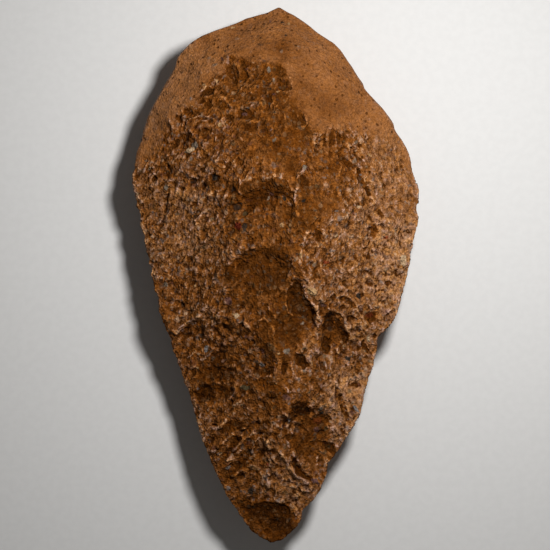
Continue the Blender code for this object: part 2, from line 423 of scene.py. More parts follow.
WORKED_FACE = (
    (-52, 33), (-42, 40), (-37, 47), (-33, 53), (-28, 57), (-23, 63), (-18, 68), (-15, 73), (-8, 71),
    (0, 70), (4, 65), (6, 58), (8, 53), (12, 49), (17, 48), (23, 49), (29, 48), (36, 46.5), (42, 42),
    (45, 35), (46.5, 28), (54, 26), (60, -100), (-60, -100),
)
CROWN = (
    (-24, 60), (-19, 67), (-15, 73), (-8, 71), (0, 70), (4, 65), (6, 58), (8, 51), (5, 44), (-4, 41),
    (-14, 43), (-24, 50),
)
RIGHT_SCAR = (
    (10, 49), (28, 47), (32, 41), (31, 33), (33, 24), (38, 19), (52, 16), (50, -20), (34, -24), (22, -12),
    (12, -6), (10, 12), (9, 30),
)

PATCHES = tuple(Patch(pairs(corners), *rest) for corners, *rest in (
    # Paler parts: partly weather-beaten stone, partly painted light where the lamp leaves the form dim.
    ((14, 18, 24, 19, 34, 20, 42, 18, 52, 20, 52, -20, 34, -24, 31, -50, 24, -58, 18, -46, 16, -34, 14, -26,
     24, -18, 22, -8, 12, -2, 11, 10), 7, 0.9),
    ((9.6, 16, 12, 13, 12, 0, 10.4, -3, 8.4, 0, 8, 7, 8.8, 12), 1.6, 0.5),
    ((34, 20, 52, 22, 52, -8, 40, -6, 32, 6), 6, 0.9), ((38, 34, 52, 36, 52, 10, 42, 12, 39, 22), 5, 0.5),
    ((14, 46, 30, 46, 38, 40, 40, 24, 30, 16, 16, 16, 15, 24), 6, 0.1),
    ((24, 30, 34, 34, 38, 22, 36, 10, 22, 12, 18, 20), 6, 0.6),
    ((30, 47, 38, 46, 45, 38, 48, 30, 44, 22, 36, 19, 32, 28, 30, 37), 14, 0.8),
    ((32, 62, 44, 56, 54, 44, 50, 34, 44, 34, 42, 40, 34, 50), 12, 0.4),
    ((-54, 34, -38, 34, -30, 28, -22, 22, -19, 10, -26, 4, -38, 0, -50, 0), 9, 0.65),
    ((-40, 34, -32, 44, -22, 44, -16, 34, -18, 26, -22, 12, -30, 0, -36, 10), 8, 0.3),
    ((-54, 40, -48, 60, -32, 78, -20, 74, -26, 58, -36, 50), 8, 1.3),
    ((-34, -12, -26, -9, -20, -12, -24, -17, -33, -19), 3, 0.45),
    ((-30, -42, -12, -42, -6, -46, -14, -47.5, -20, -51, -23, -56, -30, -56), 3, 0.3),
    ((-4, -52, 2, -54, 13, -68, 15, -74, 9, -79, 2, -76, -6, -75, -6, -66), 4, 0.8),
    ((6, -24, 10, -18, 13, -12, 14.6, -15, 14, -24, 12, -34, 6, -30), 2.5, 0.8),
    ((8, -1, 12, -2, 15, -6, 13.5, -9, 10, -5), 3, 1.2),
    ((18, -34, 31, -32, 32, -48, 22, -60, 18, -52, 18, -42), 4, 0.7),
    ((20, -35, 30, -33, 30, -44, 26, -50, 25, -42, 22, -40), 1.5, 0.9),
    ((5, -24, 9, -24, 7, -40, 4, -46, 2, -40, 4, -32), 2, 0.4),
    ((26, 48, 38, 46, 44, 40, 38, 36, 30, 40), 5, 0.4), ((-24, 9, -16, 10, -18, 1, -24, 0), 5, 0.35),
    # Darker parts: partly stained by iron, partly painted shade.
    ((-24, 62, -14, 73, 2, 71, 8, 56, 9, 44, 6, 36, -6, 38, -16, 40, -26, 50), 5, -0.38),
    ((6, 52, 12, 50, 26, 46, 26, 30, 8, 36), 6, -0.5),
    ((7, 34, 13, 32, 22, 30, 24, 26, 17, 20, 11, 18, 8, 15, 6, 20), 4, -0.75),
    ((-14, 34, 6, 34, 7, 20, 7, 8, -10, 8, -13, 14), 6, -0.35),
    ((-12, 9, 7, 9, 14, -14, 8, -28, -4, -28, -9, -12, -12, -6), 5, -0.7),
    ((-17, 3, -13.6, 4, -12, -5, -14, -12, -17, -6), 3, -0.9),
    ((-46, 0, -35, 0, -32, -8, -34, -14, -42, -20), 6, -0.2),
    ((-11, 26, -9, 31, 3, 31.5, 5.5, 27, 3, 22, -9, 22), 2, -0.2),
    ((7, -0.5, 4, -5, 3.5, -12, 6, -20, 10, -22, 13.5, -15, 12, -9, 9, -4), 2, -0.5),
    ((-2, -8, 3, -6, 4, -14, 6, -20, 1, -22, -4, -16), 4, -0.5),
    ((-18, 92, -16, 76, -2, 73, 8, 68, 8, 54, 16, 50, 22, 56, 16, 66, 8, 78, 6, 92), 12, -0.27),
    ((-4, 80, 4, 80, 5, 72, -8, 73), 7, -0.3),
    ((6, 66, 8, 56, 12, 49, 28, 49, 30, 54, 22, 62, 12, 64), 7, -0.25),
    ((-6, 60, 5, 62, 10, 52, 4, 42, -5, 46), 6, -0.35),
    ((-28, -30, -16, -26, -12, -30, -15, -42, -26, -42), 5, -0.8),
    ((-36, -18, -26, -19, -24, -30, -34, -32), 5, -0.25), ((6, -30, 14, -34, 16, -42, 8, -42), 4, -0.5),
    ((16, -20, 27, -22, 29, -30, 18, -30), 3, -0.45),
    ((-18, -14, -8, -16, 2, -24, -4, -32, -16, -30, -20, -22), 5, -0.2),
    ((4, -43, 9, -42, 14, -45, 19, -49, 18, -57, 13, -66, 7, -60, 3, -52), 3, -0.8),
    ((4, -28, -12, -36, -12, -47, 4, -47, 6, -34), 5, -0.35),
    ((-24, -52, -4, -50, -4, -60, -8, -68, -18, -68), 5, -0.45),
    ((-13, -76.5, -4, -75.5, 5, -77, 8, -84, 0, -93, -8, -88), 2.5, -1),
    ((-10, -77, -3, -75.8, 4, -77.4, 6, -80.5, 4, -84, 1, -82, -4, -80.4, -9, -80), 2.5, -0.6),
))

# Soft spots of stain and bleaching; many are painted light that lifts the shadows below the steps, across the
# middle and in the pit, and painted shade that darkens places the lamp lights strongly.
SPOTS = tuple(Spot(*row) for row in (
    # Over the butt and the bowl below it.
    (0, 41, 5, -0.35), (-31, 59, 5, -0.4), (-25, 80, 3, -0.5), (10, 45, 2.4, -0.5), (-25, 45, 3, -0.4),
    (-3, 70, 4, 0.2), (-20, 65, 3, 0.3), (1, 55, 3.4, -0.2), (2, 75, 5, -0.3), (-1, 79.6, 4, 0.2),
    (-27, 70, 5, -0.3), (-22, 79, 4, -0.2), (8, 64, 4, -0.2), (-10, 45, 3, -0.3), (-5, 65, 5, -0.35),
    (1, 66, 4, -0.3), (-15, 61, 4, -0.3), (-10, 49.5, 3, -0.5), (-17, 50, 4, 0.5), (-36, 51, 3, -0.3),
    # Over the right flank.
    (35, -5, 6, 0.5), (38, -10, 5, 0.5), (22, -9, 4.5, 0.5), (32, 1, 4.5, 0.4), (14, 3, 4.5, -0.6),
    (18, 0, 4, -0.4), (11, 17, 5, -0.6), (17, 17, 4, -0.4), (26, 17, 4.5, -0.6), (36, 17, 5, -0.5),
    (40, 23, 4, -0.4), (35, 10, 3.5, -0.4), (31, 20, 3, 0.4), (15, 43, 3.5, 0.8), (26, 42, 4.5, 0.4),
    (15, 28, 4, 0.4), (17, 26, 4, 0.2), (20, 35, 3.5, -0.4), (45, 5, 3, 0.6), (10, -5, 2.2, 0.5),
    (36, 17, 3.5, -0.5), (25, 17, 3, -0.4), (14, 10, 4, -0.4), (11, 15.6, 2.6, -0.4), (30, 20, 2.4, 0.5),
    (15, 45, 2.6, 0.5), (9.6, 35, 2.4, 0.5), (10, 20, 3, 0.4), (10, 30, 2.6, -0.4), (10, -7, 3, 0.3),
    (10, -10, 2.4, 0.5), (10, -4.6, 2, 0.6), (18, 54, 5, -0.15),
    # Over the left flank.
    (-15, 1, 4, -0.5), (-15, -10, 4, -0.4), (-25.5, 33, 4, 0.6), (-30, 25, 3.5, 0.5), (-20, 25, 3, 0.5),
    (-20, 31.5, 2.8, -0.9), (-14, 28, 3, -0.8), (-14, 23.5, 3, -1), (-15, 14.6, 3, -0.8),
    (-36, 35, 3.5, -0.5), (-27, 9, 5, 0.4), (-12, 7, 4, 0.4), (-25, -5, 3.2, 0.7), (-29, -14, 4.5, 0.4),
    (-24, -18, 3.5, 0.4), (-36, -16, 3, -0.4), (-15, 20, 2.6, 0.5), (-30, 25, 3, 0.4),
    (-20, 30.6, 2.6, -0.5), (-43, 17, 4, -0.3), (-35, 36, 3, -0.3), (-20.4, 31.4, 2.6, -0.7),
    (-15, -5, 3, 0.6), (-41, 10, 3.4, 0.4), (-16, 5.4, 3, 0.4),
    # Down the steps.
    (5, 35.5, 2.6, -0.9), (5, 20, 3.2, -0.6), (5, 5, 2.6, 0.7), (0, 0, 4, -0.5), (-9.6, 20.5, 2.8, -0.5),
    (-9, 30.6, 2.4, 0.9), (0, 30.6, 3, 0.7), (4.6, 27.4, 2.2, 0.7), (-3, 25.2, 3, -0.4),
    (1, 24.8, 2.2, -0.3), (0, 29.6, 4, 0.5), (-9, 29.6, 3, 0.5), (-1, -10, 5, 0.35), (-10, 25, 2.6, 0.4),
    (5, 25, 2, 0.6), (-10, 0, 3, 0.5), (-1, 0, 4, 0.25), (0, 4, 3.4, 0.4), (-7, 5, 2.4, 0.3),
    (-5, -10, 2.6, 0.3), (4, 35, 3, -0.2), (-9, 35, 2.4, -0.4), (5.4, 0, 2, 0.7), (-10, 25.4, 2.2, 0.4),
    # Low down.
    (30, -15, 3, -0.4), (22, -20, 3, -0.6), (15, -20, 2.6, -0.3), (28, -20, 3.5, 0.4), (10, -20, 3, 0.5),
    (7, -30, 3.5, -0.4), (15, -30, 3, -0.4), (-5, -35, 3.2, -0.6), (-3, -27, 3.5, 0.3), (-6, -41, 4, 0.4),
    (0, -40, 3.4, -0.8), (-25, -40, 3, -0.7), (-28, -29, 4, 0.4), (12, -40, 3.6, 0.7), (18, -40, 3.6, 0.5),
    (15, -45, 2.8, 0.8), (25, -45.5, 2.6, 0.9), (20, -20.6, 2.2, -0.6), (5, -30, 2.4, -0.6),
    (-25, -40, 2.6, -0.4), (-20, -45, 2.6, -0.4), (-5, -45, 2.6, -0.3), (25, -45, 2.4, 0.5),
    (15, -43, 3, 0.4), (30, -40, 2.4, -0.4), (20, -15, 3, 0.4), (15, -15, 2, 0.4), (10, -20, 2.4, -0.3),
    (25, -20, 2.6, 0.8), (25, -46, 2.4, 0.5), (-10, -41, 4, 0.3),
    # Towards the tip.
    (5, -50, 2.8, 0.9), (10, -50, 3, 0.3), (-19, -50, 3.5, 0.3), (-8, -50, 4, 0.4), (-5, -57, 3.6, 0.6),
    (0.6, -55, 2.4, -0.6), (5.6, -60, 2.4, -0.7), (6, -66, 3, 0.3), (10, -70.5, 3.2, 0.5),
    (6, -75, 3.2, 0.8), (-15, -68, 3.6, -0.6), (19.4, -59, 2.6, -0.8), (6.4, -80, 2, 1.2),
    (-3, -80, 4, -0.5), (-15, -50.6, 2.4, -0.5), (-10, -55, 2.4, -0.5), (-5, -55, 2.2, 0.4),
    (-9, -50.6, 2.4, 0.4), (15, -50, 3, -0.3), (20, -55, 2.4, 0.3), (20, -60, 2.2, -0.6), (0, -53, 3, -0.4),
    (5, -60, 2, -0.4), (-5, -65, 2, -0.3), (6, -78.6, 2.2, 0.9), (10, -70, 2.4, 0.3), (-20, -60, 3.4, 0.4),
    (-15, -61, 3, 0.5), (-9, -65, 3, 0.5), (-5, -56, 2.6, 0.3), (5, -65, 2.4, 0.4), (15, -61, 2.6, 0.7),
    (20, -55, 2.8, 0.6), (-5, -86, 3, 0.4), (1, -83.4, 2.4, -0.7), (5, -85, 2.4, -0.4), (5, -51, 2, 0.4),
))

# Faces that broke clean.
CLEAN_FACES = tuple(Patch(pairs(corners), *rest) for corners, *rest in (
    ((-11.5, 26, -10, 31, -4, 32, 3, 31, 5.5, 27, 3, 23.5, -3, 23, -9, 22.5), 1.2, 0.85),
    ((-13, 5, -10, 8.5, -5, 9.6, 3.5, 9.4, 5, 3, 3, -4, -3, -4, -9, -1), 1.2, 0.85),
    ((7, -0.5, 4, -5, 3.5, -10, 5, -13.5, 8, -20, 12, -18, 13.3, -13, 12, -9, 9, -4), 1.2, 0.7),
    ((11, 24, 16, 26, 22, 24, 21, 18, 14, 17, 10, 19), 2, 0.6),
    ((2.4, 39, 5.5, 40, 8, 37, 6.5, 33, 2.5, 33.5), 1.2, 0.7),
    ((20, -37, 30, -35, 29, -46, 25, -52, 23, -46), 1.2, 0.85),
    ((-5.8, -16.5, -2.5, -16, -1.2, -21, -5, -22.5, -7, -20), 1.2, 0.7),
    ((31, 48, 40, 46, 48, 36, 50, 20, 44, 17, 36, 20, 33, 27, 29, 37), 6, 0.72),
))

SWELLS = tuple(Swell(*row) for row in (
    (22, 58, 22, 13, 120, 0.9), (7, 76, 14, 7, 100, 0.5), (32, 24, 12, 6, 100, -0.5),
    (-2, 28.8, 8, 2.6, 0, 0.85), (-2, 33.2, 9, 1.8, 0, -0.35), (19.6, -15, 3.4, 2.4, 120, 1),
    (-8.4, -22.6, 9, 2.6, 125, 0.6),
))

HOLLOWS = tuple(Hollow(pairs(corners), *rest) for corners, *rest in (
    # The clean faces of the steps, darkened with iron stain and painted shade.
    ((-11.4, 30.6, -9, 31.6, -4, 31.8, 0, 32, 3.6, 31.4, 4.6, 29, 5.4, 26.6, 3.4, 25.4, 1.4, 26.6, -2, 26,
     -4, 24.6, -5.4, 22.6, -8, 21.6, -9.4, 23.6, -10.6, 24.6, -11.6, 27.4), 0.08, 0.8),
    ((-13.4, 4.6, -10.6, 8, -6, 9.4, -3.4, 8.6, 0, 10, 4, 9.4, 4.8, 4, 3.4, -2, 2, -5, -3, -7, -9, -6,
     -12.6, -2), 0.12, 0.75),
    ((6.8, -1, 4.6, -4, 3.2, -7.6, 3.6, -10.6, 5, -12.4, 7.6, -12.8, 9.4, -14.4, 12.6, -16, 13.2, -12,
     11, -8.8, 9, -5.6, 8.2, -3), 0.15, 1),
    # The bowl below the butt.
    ((-17, 69, -14.5, 70, -12.5, 68, -12, 65, -13.5, 63, -14.5, 65, -16.5, 67.3), 0.7),
    ((-12.6, 68.4, -10, 69, -9, 66, -10.5, 64.2, -12, 64.8), 0.4),
    ((-1.4, 68.4, 1, 69, 3.2, 68.4, 4, 66, 1.6, 65.6, 0, 66), 0.6),
    ((0.8, 65, 4, 64.8, 4.8, 62, 2.5, 61, 0.6, 62.2), 0.6), ((-5, 62.8, -3, 62.6, -2.8, 60, -5, 59.6), 0.5),
    ((-3.8, 59.8, -1, 59.8, -1.7, 56.5, -2.1, 54.4, -2.8, 54.6, -3, 57), 0.7, 0.9),
    ((-25, 60, -22.6, 62.4, -20.8, 62.2, -20.6, 60.4, -22.5, 59.8), 0.9, 0.9),
    ((-27.8, 59.6, -24, 60, -23.4, 57.4, -26, 57.2), 0.5),
    ((-23.8, 57.4, -21.2, 58.4, -20.6, 56, -23, 54.4), 0.5),
    ((-20, 58.2, -17, 57.8, -15.2, 55.4, -18, 54.6, -20.6, 55.8), 0.5),
    ((-12.8, 54.8, -7.5, 54.2, -6.8, 52, -9, 51.2, -12.8, 51.8), 0.9, 0.9),
    ((-6.8, 53.4, -5.2, 53.2, -5.6, 51.4, -7.2, 51.6), 0.9, 0.9),
    ((-10.4, 49.8, -6.4, 50.2, -6.2, 47.6, -9, 47.2, -10.6, 48), 0.8, 0.9),
    ((5.4, 51.6, 8.5, 52.6, 9.2, 50, 7, 48.8, 5.6, 49.2), 0.9, 0.9),
    ((9, 48.8, 11.2, 49.2, 11.2, 46, 9.3, 45.8), 0.7, 0.8),
    ((-31, 55.8, -28.4, 55.2, -28.4, 52.8, -30.6, 53.4), 0.7, 0.8),
    ((-33.4, 53.6, -31.8, 53.2, -31.8, 51.2, -33.6, 51.8), 0.7, 0.8),
    ((-24.8, 48.8, -22.8, 49.2, -22.8, 45.2, -24.4, 45.2), 0.8, 0.8),
    ((-32, 47.4, -28, 47.2, -28.8, 44.4, -32.2, 43.4), 0.6),
    ((-5.2, 50.6, -3.4, 51, -2.8, 46.8, -5.2, 47.2), 0.6), ((4.6, 55, 6.8, 55.6, 6.4, 51.8, 4.4, 52.2), 0.4),
    ((-10.8, 59.8, -7.6, 60.4, -7.2, 58, -10.4, 57.6), 0.4),
    ((-12, 71.4, -8, 71, -7.4, 69, -11.4, 68.6), 0.4), ((-7.2, 67, -6, 66.8, -6, 65, -7, 65.2), 0.5, 0.9),
    ((-19, 62.4, -17.4, 62.6, -17.2, 60.2, -18.8, 60), 0.3, 0.4),
    ((1.2, 52.6, 2.4, 52.4, 2, 49.8, 0.8, 50), 0.3, 0.4),
    ((-16.6, 53, -14.4, 53.4, -14, 50.8, -16, 50.6), 0.3, 0.5),
    ((-19.6, 47.8, -17.4, 48, -17.4, 45.4, -19.4, 45.2), 0.4, 0.5),
    ((2, 46.6, 4.4, 46.8, 4.4, 44.6, 2.4, 44.4), 0.3, 0.4),
    # The right flank's top.
    ((17.4, 47.4, 19.2, 47.4, 19.6, 43, 17.8, 42.6), 0.8, 1),
    ((19.6, 47.6, 21.4, 47, 21.8, 43.4, 20.4, 43.4), 0.7, 1),
    ((22.2, 47.4, 23.2, 47.2, 23.2, 43.8, 22.2, 43.4), 0.6, 1),
    ((15.4, 47, 16.4, 47.4, 16.8, 44, 15.6, 43.4), 0.5, 1),
    ((20.4, 40.4, 22, 40.2, 24.4, 38, 26.6, 36.6, 26.2, 35.2, 23.4, 36.4, 21, 38.6), 0.7, 0.8),
    ((26.6, 36.2, 28.2, 34.6, 28.9, 31.8, 30.6, 29.6, 32.2, 26.8, 31.2, 26.4, 28.4, 29.6, 27.2, 32),
     0.8, 0.8),
    ((8, 32.2, 9.8, 33, 11.2, 31, 10.8, 28.6, 9, 28, 8, 29.6), 0.8, 0.8),
    ((25.6, 41.8, 26.4, 41.4, 26.2, 39.4, 25.2, 39.6), 0.4),
    # The right flank below, and the foot of the wedge between the flanks.
    ((31.4, 17, 33, 17.4, 34.2, 14.6, 33, 12.4, 31.4, 13.4), 0.8, 0.8),
    ((12.8, 15, 14.6, 14.4, 15, 11.2, 13.4, 11), 0.8, 0.8),
    ((30.6, -1.6, 32, -1.8, 33.2, -3.2, 32.2, -3.8, 30.8, -2.8), 0.9, 0.9),
    ((21.8, -1.8, 23.2, -2.2, 24.2, -4, 23.2, -4.4, 21.8, -3), 0.7, 0.7),
    ((12.4, 1.8, 14, 1.8, 14.4, -0.6, 12.6, -1), 0.8, 0.9),
    ((21.4, -7, 23.4, -6.7, 25.4, -8.3, 26.8, -11, 25.6, -11, 24, -9.2, 22, -8.4), 0.8, 0.7),
    ((28.6, -12.6, 31.5, -12.4, 33.6, -12.4, 33.8, -14.6, 32, -16.2, 30, -15), 0.9, 0.8),
    ((14, -10, 15.3, -9, 17, -9.3, 16.8, -11.4, 16, -12.6, 14.4, -12.9, 13.9, -12), 0.7, 0.5),
    # The pit, kept shallow, with its inner pockets painted dark as iron stain and painted shade.
    ((16.6, -11.4, 18.2, -11, 20.2, -12.8, 21.8, -14.2, 23, -16.8, 24.8, -19.6, 25, -21.6, 23.4, -22.4,
     21.4, -21.4, 19.8, -19.6, 18.8, -20.6, 18.2, -23, 17.8, -26, 16, -26.8, 14.6, -24.6, 14.4, -20.6,
     15, -17, 15.8, -13.6), 0.35, 0.6),
    ((16.8, -12, 18.4, -11.8, 19.4, -14, 18.8, -16.4, 17.4, -18.2, 15.8, -17.2, 16, -14), 0.6, 1.6),
    ((20, -14, 21.4, -15, 22.4, -17.6, 24.2, -20.4, 23.6, -22, 22, -20.6, 20.4, -17.4), 0.6, 1.4),
    ((16.8, -20.4, 18, -21.4, 18.2, -24, 17, -25.8, 15.6, -24.2, 15.8, -21.6), 1, 1.6),
    ((6.1, -26.1, 9.2, -26.4, 10.9, -30, 9.4, -31, 7.1, -29.4), 1.2, 1.9),
    ((2.6, -28.8, 4.2, -29, 3.6, -31.4, 2.4, -33.4, 1.8, -31.6), 0.8, 1.2),
    ((25.2, -22.8, 27.4, -22.8, 28, -25, 26.4, -26, 25, -24.8), 0.7, 0.7),
    ((29.2, -22.4, 30.4, -22.8, 30.6, -25.6, 29.6, -25.6), 0.8, 0.8),
    ((14.6, -28.8, 16.4, -28.8, 16.6, -32, 15, -32), 0.6, 0.7),
    # The lower left and the middle beside it.
    ((-32.5, -20, -30.5, -17.8, -27, -15.5, -24.6, -15.2, -23.6, -16.8, -25.2, -19.8, -29, -20.8), 0.5, 0.5),
    ((-26.4, -19.2, -24.8, -19.2, -24.4, -21.4, -25.8, -21.4), 0.6, 0.5),
    ((-22.4, -25.8, -17, -25.4, -17.6, -30, -22, -30.4), 0.5, 0.5),
    ((-24.2, -31, -20, -30, -14.4, -31, -13.8, -35, -20, -35.4, -23.4, -34), 0.6, 0.6),
    ((-26, -37, -22, -37.4, -21, -39.6, -22.4, -42.4, -26.6, -41.6), 0.6, 0.8),
    ((-20.4, -38, -17.6, -37.2, -14, -38, -15.4, -40.6, -19, -41.4), 0.4, 0.4),
    ((-4.4, -30.6, -1, -30.4, -1.4, -33, -5, -33.2), 0.7, 0.7),
    ((-7.4, -30.8, -5.8, -31, -6, -33.2, -7.4, -33), 0.6, 0.6),
    ((-5.4, -23.8, -3.9, -24, -3.9, -26.2, -5.3, -26.2), 0.5, 0.7),
    ((0.8, -15.6, 2.2, -15.8, 2.3, -17.8, 1, -17.8), 0.7, 0.9),
    # The lens, the stained scar and the dark bands towards the tip.
    ((5, -43, 7, -42.2, 9.4, -42.6, 11.6, -45, 11.4, -46.6, 8.6, -47.2, 6.4, -46, 5.2, -44.6), 0.6, 1.9),
    ((19.8, -38.6, 21.4, -39.4, 23.2, -43, 25, -48.6, 25.2, -50.6, 23.8, -49, 21.6, -45, 19.6, -41),
     0.5, 0.6),
    ((24.6, -42, 25.4, -42.2, 26.4, -45.4, 27.4, -47.6, 26, -48.6, 25, -46), 0.4, 0.4),
    ((23.8, -37.2, 26, -36.6, 28.6, -36.8, 28.4, -37.6, 26, -37.6, 24, -38), 0.5, 0.7),
    ((6, -50, 9, -49.8, 9.4, -51.4, 6.4, -51.6), 0.7, 0.7),
    ((-1.8, -82.6, 0, -81.8, 3.4, -82.2, 4.4, -83.8, 3, -85.2, 0.4, -85, -1.2, -84.2), 0.5, 1.2),
    ((-6.4, -82.4, -4.6, -82, -4.4, -83.6, -6, -84), 0.4, 0.7),
    ((-3.4, -86, -1.6, -85.8, -1.8, -87.2, -3.2, -87.4), 0.4, 0.7),
    ((0.6, -86.6, 2.2, -86.4, 2, -87.8, 0.8, -87.8), 0.4, 0.7),
    ((15.6, -56, 17.6, -56.2, 19.8, -57.4, 19, -59.8, 16.8, -58.8), 1, 0.9),
    ((11, -49.4, 13, -46.8, 17, -46.8, 18.6, -49, 15, -50.6, 12, -51), 0.5, 0.4),
    ((-18, -49.6, -14, -48.4, -8, -48.4, -5.6, -49.4, -8, -51.6, -13, -51.8, -18, -53.2, -21.6, -56,
     -22.4, -53, -19.5, -51.3), 0.3, 0.6),
    ((-18.6, -59, -15.4, -56.6, -13, -54, -11.6, -54.6, -13.6, -57.4, -17.4, -60.4), 0.5, 0.8),
    ((-15.4, -63.8, -12, -61.4, -9.6, -58, -8.6, -59, -10.8, -63, -14, -65), 0.5, 0.8),
    ((-14, -63, -10.6, -62.6, -10.8, -64.6, -14, -64.8), 0.6, 0.5),
    ((-1, -52.6, 0.6, -52.8, 1, -55, -0.6, -55.2), 0.7, 0.6),
    ((-6, -58, -4, -57.6, -4, -60.4, -6, -61.6), 0.6, 0.6),
    ((4.6, -60, 6, -60.8, 9, -66.4, 12, -68, 11.6, -69.4, 7.4, -67.6, 5, -63.4), 0.8, 1.2),
    ((-9, -77.6, -4, -76, 1, -76.2, 4.4, -78.2, 5.4, -80.6, 3.6, -82.4, 1, -80.6, -3, -79.8, -8, -79.4),
     0.5, 1.9),
    ((-2, -83.2, 1.6, -82.6, 4.4, -83.2, 3.8, -85.2, 0, -86, -2.6, -85), 0.6, 0.9),
    # The left flank.
    ((-22.2, 33.4, -19.6, 33.2, -19, 31.6, -21, 31, -22.4, 32), 1.1, 1),
    ((-15.8, 29.6, -14.2, 29.4, -13.8, 27.2, -15.4, 27), 0.8, 0.8),
    ((-14.6, 23.6, -12, 23.8, -11.8, 21.6, -14, 21.6), 0.9, 0.9),
    ((-9.8, 22.8, -8, 23, -8, 21, -10, 21), 0.7, 0.7),
    ((-29.6, 32, -27.2, 32, -27, 30, -29.4, 30), 0.5, 0.5),
    ((-25.4, 15, -23, 15, -22.8, 12.2, -24.8, 12), 0.6, 0.6),
    ((-30, 6, -28, 6.4, -27.6, 4.6, -29.6, 4), 0.7, 0.8),
    ((-16.6, 15, -13.4, 15, -13.4, 12.6, -16.4, 12.8), 0.5, 0.5),
))
